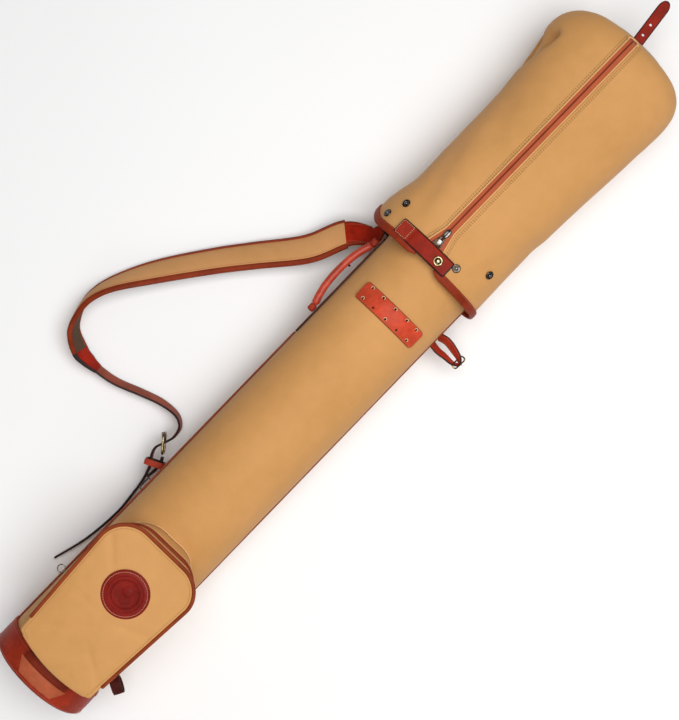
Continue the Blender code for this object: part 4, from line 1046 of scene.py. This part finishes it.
def make_hood():
    """The canvas hood as one skin with a fork cut out below the zip, and a gathered closed end."""
    levels = [0.8035 + (ZIP_TOP_Y - 0.8035) * k / 110 for k in range(111)]
    levels += [ZIP_TOP_Y + 0.0012, 1.2295, 1.2322, 1.2345, 1.2365, 1.238]
    columns = 200
    rows = []
    for y in levels:
        slit = zip_side(y) + TAPE_WIDTH - 0.0002 if y < ZIP_TOP_Y + 0.0006 else 0.0001
        first, last = hood_turn(ZIP_X - slit, y), hood_turn(ZIP_X + slit, y) + 360
        row = []
        for k in range(columns + 1):
            turn = first + (last - first) * k / columns
            row.append(hood_point(y + hem_rise(turn) * max(0.0, 1 - (y - levels[0]) / 0.12), turn))
        rows.append(row)
    bm = bmesh.new()
    loft(bm, rows)
    thicken(put("hood_canvas", settle(bm, from_axis), "canvas", "hood", "canvas", ["hood_shell"]), 0.0016)
    bm = bmesh.new()
    top = [[hood_point(1.238, 360 * k / 72).lerp(Vector((-0.006, 1.2388 + 0.0016 * s, 0)), s)
            for k in range(72)] for s in (-0.02, 0.0, 0.15, 0.35, 0.6, 0.85, 0.97)]
    loft(bm, top, around=True)
    close_last(bm, 72)
    settle(bm, lambda p: Vector((0, 1, 0)))
    put("hood_end_canvas", bm, "canvas", "hood", "canvas")
    make_hem()


def make_hem():
    """The rolled leather binding round the hood's mouth, parted under the closing tab."""
    spans = ((101.0, 264.0), (264.0, 437.0))
    bm = bmesh.new()
    rows = []
    first, last, steps = 97.5, 444.5, 240
    for k in range(steps + 1):
        share = k / steps
        turn = first + (last - first) * share
        end = min(share, 1 - share) * steps
        small = math.sin(math.pi / 2 * min((end + 0.6) / 6.0, 1.0))
        centre = hood_point(HEM_Y + HEM_HEIGHT / 2 + hem_rise(turn), turn, 0.0, False)
        out = from_axis(centre + Vector((0.010, 0, 0))).normalized()
        row = []
        for j in range(14):
            a = 2 * math.pi * j / 14
            tall = HEM_HEIGHT / 2 * math.copysign(abs(math.sin(a)) ** 0.7, math.sin(a)) * small
            wide = 0.0026 * math.copysign(abs(math.cos(a)) ** 0.7, math.cos(a)) * small
            row.append(centre + out * (wide + 0.0006) + Vector((0, tall, 0)))
        for p in row:
            p.z = max(p.z, FLOOR_Z)
        rows.append(row)
    loft(bm, rows, around=True, caps=True)
    put("hood_hem_leather", settle(bm), "hem", "hood", "dark_leather", ["hem_binding"])
    paths = []
    for k in range(2):
        span = [spans[k][0] + (spans[k][1] - spans[k][0]) * i / 160 for i in range(161)]
        paths.append([hood_point(HEM_Y + HEM_HEIGHT - 0.0018 + hem_rise(t), t, 0.0026, False) for t in span])
    stitches("hem_stitches", paths, "red_thread", "hood", "dark_leather", radius=0.0003)


def tape_path(offset, rise, low=ZIP_LOW_Y - 0.010, high=ZIP_TOP_Y, side=1, steps=110):
    return [on_hood(ZIP_X + side * (zip_side(y) + offset), y, rise)
            for y in (low + (high - low) * k / steps for k in range(steps + 1))]


def make_hood_zip():
    for name, side, node in (("hood_tape_left", -1, "zip_tape_left"),
                             ("hood_tape_right", 1, "zip_tape_right")):
        profile = ((0.0001, 0.0006), (0.0003, 0.0016), (0.0010, 0.0019), (0.0018, 0.0016), (0.0030, 0.0012),
                   (0.0046, 0.0011), (0.0060, 0.0009), (TAPE_WIDTH, 0.0003))
        columns = [tape_path(offset, rise, side=side) for offset, rise in profile]
        rows = [[column[k] for column in columns] for k in range(len(columns[0]))]
        bm = bmesh.new()
        # On the left tape, the strip nearest the coil takes the darker finish: painted shade beside the coil.
        loft(bm, rows, paint=lambda r, c, s=side: int(s < 0 and c < 3))
        settle(bm, lambda p: Vector((0, 0, 1)))
        thicken(put(name, bm, ["tape", "tape_dark"], "hood", "zip_tape", [node]), 0.0006)
        bm = bmesh.new()
        add_rod(bm, *rounded_ends(tape_path(TAPE_WIDTH + 0.0004, 0.0010, side=side), 0.0010), 8, False)
        # The fold beside the tape takes the paler canvas, a painted highlight.
        put(f"{name}_fold", settle(bm), "canvas_edge", "hood", "canvas")
    rows = [tape_path(0.0096, 0.0006, side=-1), tape_path(0.0124, 0.0005, side=-1),
            tape_path(0.0126, 0.0005, side=1), tape_path(0.0150, 0.0005, side=1)]
    stitches("hood_zip_stitches", rows, "tan", "hood", "canvas", length=0.0024, gap=0.0014, radius=0.00042)
    bm = bmesh.new()
    for side in (-1, 1):
        teeth = tape_path(-0.0004, 0.0014, low=0.8250, high=ZIP_FORK_Y - 0.002, side=side, steps=20)
        for p in teeth:
            step = Matrix.Translation(p) @ Matrix.Diagonal((0.0020, 0.0010, 0.0018, 1.0))
            bmesh.ops.create_cube(bm, size=1.0, matrix=step)
    bmesh.ops.bevel(bm, geom=bm.edges, offset=0.0002, segments=1, affect="EDGES")
    put("hood_zip_teeth", bm, "nickel", "hood", "zip_metal")
    loop = [on_hood(ZIP_X + 0.0080 * math.cos(t), ZIP_TOP_Y - 0.002 + 0.0050 * math.sin(t), 0.0016)
            for t in (math.pi * k / 16 for k in range(17))]
    # The top loop takes the paler canvas, a painted highlight.
    rod("hood_zip_top_loop", loop, 0.0017, "canvas_edge", "hood", "canvas", flat=0.7)
    low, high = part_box("zip_slider")
    middle = (low + high) / 2
    outline = [(0.0026, -0.0066), (0.0044, -0.002), (0.0044, 0.003), (0.0028, 0.0066), (-0.0028, 0.0066),
               (-0.0044, 0.003), (-0.0044, -0.002), (-0.0026, -0.0066)]
    pillow("hood_slider_body", outline, lambda a, b, h: Vector((middle.x + a, middle.y + b, low.z + h)),
           0.0030, 0.0008, "nickel", "hood_zip", "zip_metal", ["zip_slider"], crown=0.0008, inner=3)
    bridge = [(middle.x, middle.y - 0.0052, low.z + 0.0022), (middle.x, middle.y - 0.0030, low.z + 0.0052),
              (middle.x, middle.y + 0.0030, low.z + 0.0052), (middle.x, middle.y + 0.0055, low.z + 0.0026)]
    rod("hood_slider_bridge", smooth_path(bridge, 12), 0.0010, "steel", "hood_zip", "zip_metal")
    low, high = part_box("zip_pull")
    z = (low.z + high.z) / 2
    ring = [(0.0020, 0.0), (0.0028, -0.004), (0.0028, -0.0105), (0.0016, -0.0130), (-0.0016, -0.0130),
            (-0.0028, -0.0105), (-0.0028, -0.004), (-0.0020, 0.0)]
    pull = [Vector((ZIP_X + a, high.y + b, z)) for a, b in ring]
    rod("hood_pull_frame", pull, 0.0008, "nickel", "hood_pull", "zip_metal", ["zip_pull"], sides=8,
        cyclic=True)
    plate = [(a * 0.82, b) for a, b in ((0.0026, -0.0122), (0.0030, -0.0060), (-0.0030, -0.0060),
                                        (-0.0026, -0.0122))]
    plate.reverse()
    pillow("hood_pull_plate", plate, lambda a, b, h: Vector((ZIP_X + a, high.y + b, z + h)), 0.0005, 0.0004,
           "nickel", "hood_pull", "zip_metal", inner=2, base=-0.0005)


def tab_lift(x):
    """How far the tab's underside stands off the hood, rising from its sewn end over the zip."""
    return 0.0008 + 0.0016 * min(max((x + 0.060) / 0.015, 0.0), 1.0)


def make_tab():
    low, high = TAB_Y - TAB_WIDTH / 2, TAB_Y + TAB_WIDTH / 2
    bm = bmesh.new()
    xs = running([(TAB_RIGHT_X - TAB_LEFT_X) / 76] * 76)
    rows = []
    for k, run in enumerate(xs):
        x = TAB_LEFT_X + run
        near = min(run, xs[-1] - run)
        round_off = 0.0028 - math.sqrt(max(0.0028**2 - max(0.0028 - near, 0.0) ** 2, 0.0))
        edge = math.sin(math.pi / 2 * min((near + 0.0002) / 0.0016, 1.0))
        lift = tab_lift(x)
        half = TAB_WIDTH / 2 - round_off
        row = []
        for j in range(15):
            across = -1 + 2 * j / 14
            y = TAB_Y + half * across
            side = math.sqrt(max(1 - abs(across) ** 8, 0.0))
            row.append(on_hood(x, y, lift + 0.0004 + 0.0026 * edge * (0.25 + 0.75 * side)))
        for j in range(8):
            y = TAB_Y + half * (1 - 2 * j / 7)
            row.append(on_hood(x, y, lift))
        rows.append(row)

    def paint(r, c):
        edge = c in (0, 13) or c >= 14 or c == -1 or r < 2 or r > 73
        return 2 if edge else int(xs[r] < 0.0225)

    loft(bm, rows, around=True, caps=True, paint=paint)
    obj = put("closing_tab", settle(bm), ["tab", "tab_end", "edge"], None, "dark_leather",
              ["tab_base", "tab_strap"])
    seat = on_hood(TAB_HINGE_X, TAB_Y, 0.004)
    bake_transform(obj)
    box = []
    for y in (low + 0.0025, high - 0.0025):
        run = [TAB_LEFT_X + 0.0025 + 0.0175 * k / 20 for k in range(21)]
        box.append([on_hood(x, y, tab_lift(x) + 0.0031) for x in run])
    for x in (TAB_LEFT_X + 0.0025, TAB_LEFT_X + 0.0200):
        reach = [low + 0.0025 + (TAB_WIDTH - 0.005) * k / 20 for k in range(21)]
        box.append([on_hood(x, y, tab_lift(x) + 0.0031) for y in reach])
    stitches("tab_stitches", box, "cream", "hood", "dark_leather", length=0.0018, gap=0.0014, radius=0.0003)
    top = on_hood(TAB_SNAP_X, TAB_Y - 0.0008, 0.0052)
    profile = [(0.0071, 0.0), (0.0072, 0.0006), (0.0068, 0.0012), (0.0052, 0.0014), (0.0046, 0.0011),
               (0.0041, 0.0017), (0.0028, 0.0024), (0.0012, 0.0028), (0.0003, 0.0029)]
    button("tab_snap_brass", top, hood_normal(TAB_SNAP_X, TAB_Y), profile, "brass", "tab_flap", "brass",
           ["tab_snap_cap"])
    for number, (x, y) in enumerate(SNAP_PLACES, start=1):
        profile = [(0.0061, -0.0004), (0.0062, 0.0006), (0.0057, 0.0013), (0.0044, 0.0015), (0.0036, 0.0009),
                   (0.0027, 0.0010), (0.0024, 0.0019), (0.0013, 0.0025), (0.0003, 0.0027)]
        # The snaps' centres take the paler nickel finish: a painted highlight on the dark cap's dome.
        button(f"snap_ring_{number}", on_hood(x, y, 0.0002), hood_normal(x, y), profile, ["steel", "nickel"],
               "hood", "dark_metal", [f"snap_cap_{number}"], paint=lambda r, c: int(r > 5))


def make_end_strap():
    root, tip = Vector((-0.0125, 1.2440, 0.020)), Vector((-0.0210, 1.3150, 0.020))
    along = (tip - root).normalized()
    across = Vector((0, 0, 1)).cross(along).normalized()
    length = (tip - root).length
    half = 0.0085
    holes = (0.012, 0.030)
    rows_x = [length * k / 60 for k in range(61)]
    bm = bmesh.new()
    grid_rows = []
    for run in rows_x:
        past = (run - length + 0.014) / 0.0142
        taper = 1.0 if run < length - 0.014 else math.sqrt(max(1 - past**2, 0.004))
        wide = half * min(taper, 1.0) ** 0.9
        row = []
        for j in range(13):
            share = -1 + j / 6
            rise = 0.0016 * (0.55 + 0.45 * math.sqrt(max(1 - abs(share) ** 6, 0.0)))
            row.append(root + along * run + across * share * wide + Vector((0, 0, rise)))
        for j in range(7):
            row.append(root + along * run + across * wide * (1 - j / 3) + Vector((0, 0, -0.0014)))
        grid_rows.append(row)
    loft(bm, grid_rows, around=True, caps=True,
         paint=lambda r, c: 1 if (c in (0, 11) or c >= 12 or r > 57) else 0)
    obj = put("end_strap_leather", settle(bm), ["tab", "edge"], "end_strap", "dark_leather", ["hood_strap"])
    for number, place in enumerate(holes):
        cutter_bm = bmesh.new()
        bmesh.ops.create_cone(cutter_bm, cap_ends=True, segments=20, radius1=0.0021, radius2=0.0021,
                              depth=0.02, matrix=Matrix.Translation(root + along * place))
        mesh = bpy.data.meshes.new(f"hole_cutter_{number}")
        cutter_bm.to_mesh(mesh)
        cutter_bm.free()
        cutter = bpy.data.objects.new(f"hole_cutter_{number}", mesh)
        bpy.context.scene.collection.objects.link(cutter)
        cut = obj.modifiers.new(f"hole_{number}", "BOOLEAN")
        cut.object = cutter
        cut.solver = "EXACT"
    bpy.context.view_layer.update()
    graph = bpy.context.evaluated_depsgraph_get()
    mesh = bpy.data.meshes.new_from_object(obj.evaluated_get(graph))
    obj.modifiers.clear()
    obj.data = mesh
    for number in range(len(holes)):
        bpy.data.objects.remove(bpy.data.objects[f"hole_cutter_{number}"])
    soft_block("end_strap_patch", (root.x, 1.2412, root.z), (0.024, 0.0028, 0.012), "tab", "hood",
               "dark_leather", ["hood_strap_patch"], bevel=0.0009)
    soft_block("end_buckle_tab", (root.x, 1.2412, -0.006), (0.017, 0.0028, 0.013), "tab", "hood",
               "dark_leather", ["hood_buckle_tab"], bevel=0.0009)
    row = [(root.x - 0.009 + 0.018 * k / 12, 1.2428, 0.0235) for k in range(13)]
    low_row = [(root.x - 0.006 + 0.012 * k / 12, 1.2428, -0.002) for k in range(13)]
    stitches("end_patch_stitches", [row, low_row], "cream", "hood", "dark_leather", radius=0.0003)


# ---- straps ----
STRAP_KEYS = (
    (-0.0908, 0.8110, -0.0262, 22),
    (-0.0925, 0.8035, -0.0275, 22),
    (-0.0940, 0.7885, -0.0305, 22),
    (-0.1240, 0.7640, -0.0400, 20),
    (-0.1500, 0.7100, -0.0520, 26),
    (-0.2000, 0.6490, -0.0600, 32),
    (-0.2380, 0.6010, -0.0600, 36),
    (-0.2870, 0.5320, -0.0590, 44),
    (-0.3200, 0.4750, -0.0546, 62),
    (-0.3310, 0.4370, -0.0532, 73),
    (-0.3260, 0.4060, -0.0532, 84),
    (-0.3130, 0.3830, -0.0540, 97),
    (-0.2880, 0.3690, -0.0585, 120),
    (-0.2700, 0.3665, -0.0620, 124),
    (-0.2500, 0.3671, -0.0650, 122),
    (-0.2190, 0.3720, -0.0680, 120),
    (-0.1790, 0.3870, -0.0680, 118),
    (-0.1490, 0.3970, -0.0660, 114),
    (-0.1210, 0.4000, -0.0600, 104),
    (-0.1040, 0.3920, -0.0500, 94),
    (-0.0990, 0.3760, -0.0420, 90),
    (-0.1030, 0.3600, -0.0390, 90),
    (-0.1075, 0.3470, -0.0390, 90),
    (-0.1040, 0.3350, -0.0400, 90),
    (-0.0960, 0.3235, -0.0415, 90),
    (-0.0890, 0.3000, -0.0520, 90),
    (-0.0850, 0.2680, -0.0620, 90),
    (-0.0830, 0.2370, -0.0670, 90),
    (-0.0855, 0.2000, -0.0690, 90),
    (-0.0910, 0.1650, -0.0690, 90),
    (-0.1030, 0.1210, -0.0690, 90),
)
STRAP_STEPS = 8
PAD_WIDTH = 0.042


def strap_frames(path):
    """Centre, across, normal and along vectors on a path of (x, y, z, lean)."""
    frames = []
    centres = [Vector(p[:3]) for p in path]
    for i, place in enumerate(path):
        along = centres[min(i + 1, len(path) - 1)] - centres[max(i - 1, 0)]
        along.normalize()
        outward = Vector((along.y, -along.x, 0)).normalized()
        lean = math.radians(place[3])
        normal = Vector((0, 0, 1)) * math.cos(lean) + outward * math.sin(lean)
        normal = (normal - along * normal.dot(along)).normalized()
        frames.append((centres[i], normal.cross(along).normalized(), normal, along))
    return frames


def belt_rows(frames, sections, low=-1.0, high=1.0, crown=0.0, back=0.0):
    """Rings of a strap with rounded edges. sections are (width, thickness) at even places."""
    rows = []
    last = len(frames) - 1
    for k, (centre, across, normal, _) in enumerate(frames):
        place = (len(sections) - 1) * k / last
        i = min(int(place), len(sections) - 2)
        width, thick = [a + (b - a) * (place - i) for a, b in zip(sections[i], sections[i + 1])]
        start, end = low * width / 2, high * width / 2
        edge = min(thick / 2, (end - start) / 2.2)
        row = []
        for j in range(9):
            share = -1 + j / 4
            x = (start + end) / 2 + share * ((end - start) / 2 - edge)
            row.append((x, thick / 2 + crown * (1 - share**2)))
        for turn in (50, 0, -50):
            a = math.radians(turn)
            row.append((end - edge + edge * math.cos(a), thick / 2 * math.sin(a)))
        for j in range(5):
            share = 1 - j / 2
            x = (start + end) / 2 + share * ((end - start) / 2 - edge)
            row.append((x, -thick / 2 - back * (1 - share**2)))
        for turn in (230, 180, 130):
            a = math.radians(turn)
            row.append((start + edge + edge * math.cos(a), thick / 2 * math.sin(a)))
        rows.append([centre + across * x + normal * rise for x, rise in row])
    for row in rows:
        for p in row:
            p.z = max(p.z, FLOOR_Z + 0.0002)
    return rows


def belt(name, frames, sections, finishes, body, slot, replaced=(), **shape):
    """A strap: finishes are its face, its edges and its back."""
    bm = bmesh.new()

    def paint(r, c):
        return 0 if 0 <= c < 8 else 2 if 12 <= c < 16 else 1

    loft(bm, belt_rows(frames, sections, **shape), around=True, caps=True, paint=paint)
    return put(name, settle(bm), finishes, body, slot, replaced)


def edge_row(frames, offset, rise, first=0, last=None):
    last = len(frames) if last is None else last
    return [c + a * offset + n * rise for c, a, n, _ in frames[first:last]]


def rounded_frame(centre, along, across, length, width, corner, arcs=5):
    points = []
    for quarter in range(4):
        sx, sy = (1, -1, -1, 1)[quarter], (1, 1, -1, -1)[quarter]
        for k in range(arcs + 1):
            turn = math.pi / 2 * (quarter + k / arcs)
            x = sx * (length / 2 - corner) + corner * math.cos(turn)
            y = sy * (width / 2 - corner) + corner * math.sin(turn)
            points.append(Vector(centre) + Vector(along) * x + Vector(across) * y)
    return points


def make_shoulder_strap():
    path = smooth_path(STRAP_KEYS, STRAP_STEPS * (len(STRAP_KEYS) - 1))
    frames = strap_frames(path)

    def part(first, last):
        return frames[first * STRAP_STEPS: last * STRAP_STEPS + 1]

    body = "shoulder_strap"
    cap = part(0, 3)
    belt("strap_cap_leather", cap, ((0.010, 0.004), (0.014, 0.005), (0.030, 0.006), (0.0415, 0.0085)),
         ["cap", "binding", "cap"], body, "bright_leather", ["strap_end_cap"], crown=0.0008)
    rows = [edge_row(cap[14:], side * 0.0135, 0.0042) for side in (-1, 1)]
    stitches("strap_cap_stitches", rows, "red_thread", body, "bright_leather")
    pad = part(3, 12)
    sections = ((0.040, 0.006), *[(PAD_WIDTH, 0.0065)] * 8, (0.030, 0.006))
    obj = belt("strap_pad_canvas", pad, sections, ["canvas_pad", "canvas_pad", "lining"], body, "canvas",
               ["strap_pad"], crown=0.0026, back=0.0006)
    for name, low, high, node in (("pad_edge_inner", 0.68, 1.16, "pad_binding_inner"),
                                  ("pad_edge_outer", -1.16, -0.80, "pad_binding_outer")):
        belt(name, pad, tuple((w, t + 0.0016) for w, t in sections), ["binding", "binding", "dark"], body,
             "dark_leather", [node], low=low, high=high, crown=0.0003)
    rows = [edge_row(pad, 0.0150, 0.0046, 2, -2), edge_row(pad, -0.0178, 0.0046, 2, -2)]
    stitches("pad_stitches", rows, "red_thread", body, "dark_leather", radius=0.0003)
    link = part(12, 14)
    belt("strap_link_leather", link, ((0.0365, 0.008), (0.030, 0.0065), (0.021, 0.005)),
         ["cap", "edge", "cap"], body, "bright_leather", ["strap_connector"], crown=0.0008)
    narrow = part(14, 30)
    sections = ((0.020, 0.0034), *[(0.020, 0.0032)] * 14, (0.018, 0.003), (0.006, 0.003))
    belt("strap_long_leather", narrow, sections, ["narrow", "edge", "narrow"], body, "dark_leather",
         ["strap_narrow"], crown=0.0003)
    rows = [edge_row(narrow, side * 0.0075, 0.0018, 2, 52) for side in (-1, 1)]
    stitches("strap_long_stitches", rows, "red_thread", body, "dark_leather", radius=0.00028)

    frame_along = Vector((0.63, -0.776, 0)).normalized()
    centre = Vector((-0.1030, 0.3590, -0.0390))
    points = rounded_frame(centre, frame_along, (0, 0, 1), 0.030, 0.0270, 0.006)
    rod("strap_buckle_frame", points, 0.0017, "brass", body, "brass", ["buckle_frame"], cyclic=True)
    roller = [centre - frame_along * 0.015 + Vector((0, 0, z / 1000)) for z in (-8, -4, 0, 4, 8)]
    rod("strap_buckle_roller", roller, 0.0023, "brass", body, "brass")
    for name, y, reach in (("strap_ring_upper", 0.8115, 0.0085), ("strap_ring_lower", 0.3000, 0.0080)):
        middle = Vector((STRAP_AXIS[0] - reach / 2, y, STRAP_AXIS[1]))
        points = rounded_frame(middle, (0, 1, 0), (1, 0, 0), 0.019, reach, 0.0022)
        rod(name + "_steel", points, 0.0013, "steel", body, "dark_metal", [name], sides=10, cyclic=True)
    low_end = centre + frame_along * 0.0200
    chape_keys = ((low_end.x, low_end.y, -0.0385, 90), (-0.0865, 0.3350, -0.0385, 90),
                  (-0.0850, 0.3250, -0.0375, 90), (-0.0860, 0.3110, -0.0300, 90))
    chape = strap_frames(smooth_path(chape_keys, 24))
    belt("strap_buckle_leather", chape, ((0.016, 0.004),) * 4, ["connector", "edge", "dark"], body,
         "dark_leather", ["buckle_strap"], crown=0.0003)
    keeper = Vector((-0.0925, 0.3290, -0.0400))
    along = Vector((0.42, -0.9075, 0)).normalized()
    across = Vector((-along.y, along.x, 0))
    inner = rounded_frame(keeper, across, (0, 0, 1), 0.0245, 0.0266, 0.002, arcs=4)
    outer = rounded_frame(keeper, across, (0, 0, 1), 0.0285, 0.0306, 0.004, arcs=4)
    bm = bmesh.new()
    rings = []
    for i, o in zip(inner, outer):
        half = along * 0.0045
        soft = along * 0.0036
        swell = (o - i) * 0.12
        rings.append([i - half, o - half - swell, o - soft, o + swell, o + soft, o + half - swell, i + half])
    rings.append(rings[0])
    loft(bm, rings, around=True, paint=lambda r, c: int(c in (0, 5, 6)))
    bmesh.ops.remove_doubles(bm, verts=bm.verts, dist=1e-6)
    put("keeper_leather", settle(bm), ["keeper", "edge"], "keeper", "bright_leather", ["strap_keeper"])


def make_umbrella_strap():
    y = 0.744
    keys = ((0.0775, y + 0.0060, -0.0215, 22), (0.0900, y + 0.0085, -0.0185, 26),
            (0.1030, y + 0.0070, -0.0195, 34), (0.1185, y + 0.0030, -0.0225, 56),
            (0.1252, y - 0.0034, -0.0270, 78), (0.1185, y - 0.0082, -0.0315, 62),
            (0.1030, y - 0.0088, -0.0345, 46), (0.0900, y - 0.0098, -0.0355, 40),
            (0.0765, y - 0.0080, -0.0345, 36))
    frames = strap_frames(smooth_path(keys, 80))
    belt("umbrella_strap_leather", frames, ((0.013, 0.0025),) * 9, ["connector", "edge", "tab"],
         "umbrella_loop", "dark_leather", ["umbrella_strap"], crown=0.0003)
    rows = [edge_row(frames, side * 0.0038, 0.0014, 3, 30) for side in (-1, 1)]
    stitches("umbrella_stitches", rows, "red_thread", "umbrella_loop", "dark_leather", length=0.0016,
             gap=0.0010, radius=0.00025)
    turn = Matrix.Rotation(math.radians(-28), 3, "Z")
    hinge = Vector((0.0800, 0.0720, -0.008))
    bm = bmesh.new()
    rings = []
    for k in range(41):
        a = 2 * math.pi * k / 40
        ring = []
        for grow, run in ((0.0, -0.0074), (0.0010, -0.0080), (0.0022, -0.0076), (0.0026, 0.0),
                          (0.0022, 0.0076), (0.0010, 0.0080), (0.0, 0.0074), (-0.0001, 0.0)):
            ring.append(hinge + turn @ Vector((0.0130 + (0.0110 + grow) * math.cos(a), run,
                                               (0.0065 + grow) * math.sin(a))))
        rings.append(ring)
    loft(bm, rings, around=True, paint=lambda r, c: int(c in (0, 1, 4, 5)))
    bmesh.ops.remove_doubles(bm, verts=bm.verts, dist=1e-6)
    put("lower_loop_leather", settle(bm), ["dark", "edge"], "lower_loop", "dark_leather",
        ["lower_umbrella_loop"])


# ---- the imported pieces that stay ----
KEPT_FINISHES = {
    "liner_tube": "liner", "base_board": "board", "top_cuff": "band", "strap_tab_upper": "tab",
    "strap_tab_lower": "tab", "snap_stud_1": "steel", "snap_stud_2": "steel", "tab_stud": "steel",
    "umbrella_tab": "tab", "hood_buckle_frame": "steel", "hood_buckle_prong": "steel",
    "buckle_prong": "brass", "umbrella_buckle": "brass", "umbrella_prong": "brass",
}


def finish_kept_nodes():
    for name, material in KEPT_FINISHES.items():
        slots = frame["nodes"][name].material_slots
        for slot in slots:
            slot.material = MATERIALS[material]


# ---- floor, light and camera ----
def make_stage():
    bm = bmesh.new()
    loft(bm, [[Vector((x, y, FLOOR_Z - 0.0002)) for x in (-6, 0, 6)] for y in (-6, 0.6, 7)])
    mesh = bpy.data.meshes.new("floor")
    bm.to_mesh(mesh)
    bm.free()
    floor = bpy.data.objects.new("floor", mesh)
    bpy.context.scene.collection.objects.link(floor)
    m = Shader("floor_paper", 0.95)
    paper = m.noise(3.0, 2.0)
    mesh.materials.append(m.finish(m.mix(paper, (0.90, 0.90, 0.90), (0.93, 0.93, 0.93))))
    for name, place, size, power, aim in (
        ("overhead_softbox", (0.42, 1.00, 2.7), 2.4, 90.0, (0, 0.6, 0)),
        ("front_fill", (1.1, -1.3, 1.7), 1.4, 9.0, (0, 0.5, 0)),
    ):
        lamp = bpy.data.lights.new(name, "AREA")
        lamp.shape = "SQUARE"
        lamp.size = size
        lamp.energy = power
        obj = bpy.data.objects.new(name, lamp)
        obj.location = place
        obj.rotation_euler = (Vector(aim) - Vector(place)).to_track_quat("-Z", "Y").to_euler()
        bpy.context.scene.collection.objects.link(obj)
    world = bpy.data.worlds.new("studio")
    world.use_nodes = True
    world.node_tree.nodes["Background"].inputs["Color"].default_value = (1.0, 1.0, 1.0, 1.0)
    world.node_tree.nodes["Background"].inputs["Strength"].default_value = 0.14
    bpy.context.scene.world = world


def make_camera():
    camera = bpy.data.cameras.new("camera")
    camera.lens = 71.7
    camera.sensor_width = 36.0
    camera.clip_end = 50.0
    obj = bpy.data.objects.new("camera", camera)
    obj.location = (-0.00315, 0.625, 2.056)
    obj.rotation_euler = (0, 0, math.radians(44.03))
    bpy.context.scene.collection.objects.link(obj)
    bpy.context.scene.camera = obj
    bpy.context.scene.view_settings.view_transform = "Standard"


make_camera()
make_stage()
make_tube()
make_boot()
make_laced_patch()
make_handle()
make_pocket()
make_hood()
make_hood_zip()
make_tab()
make_end_strap()
make_shoulder_strap()
make_umbrella_strap()
finish_kept_nodes()
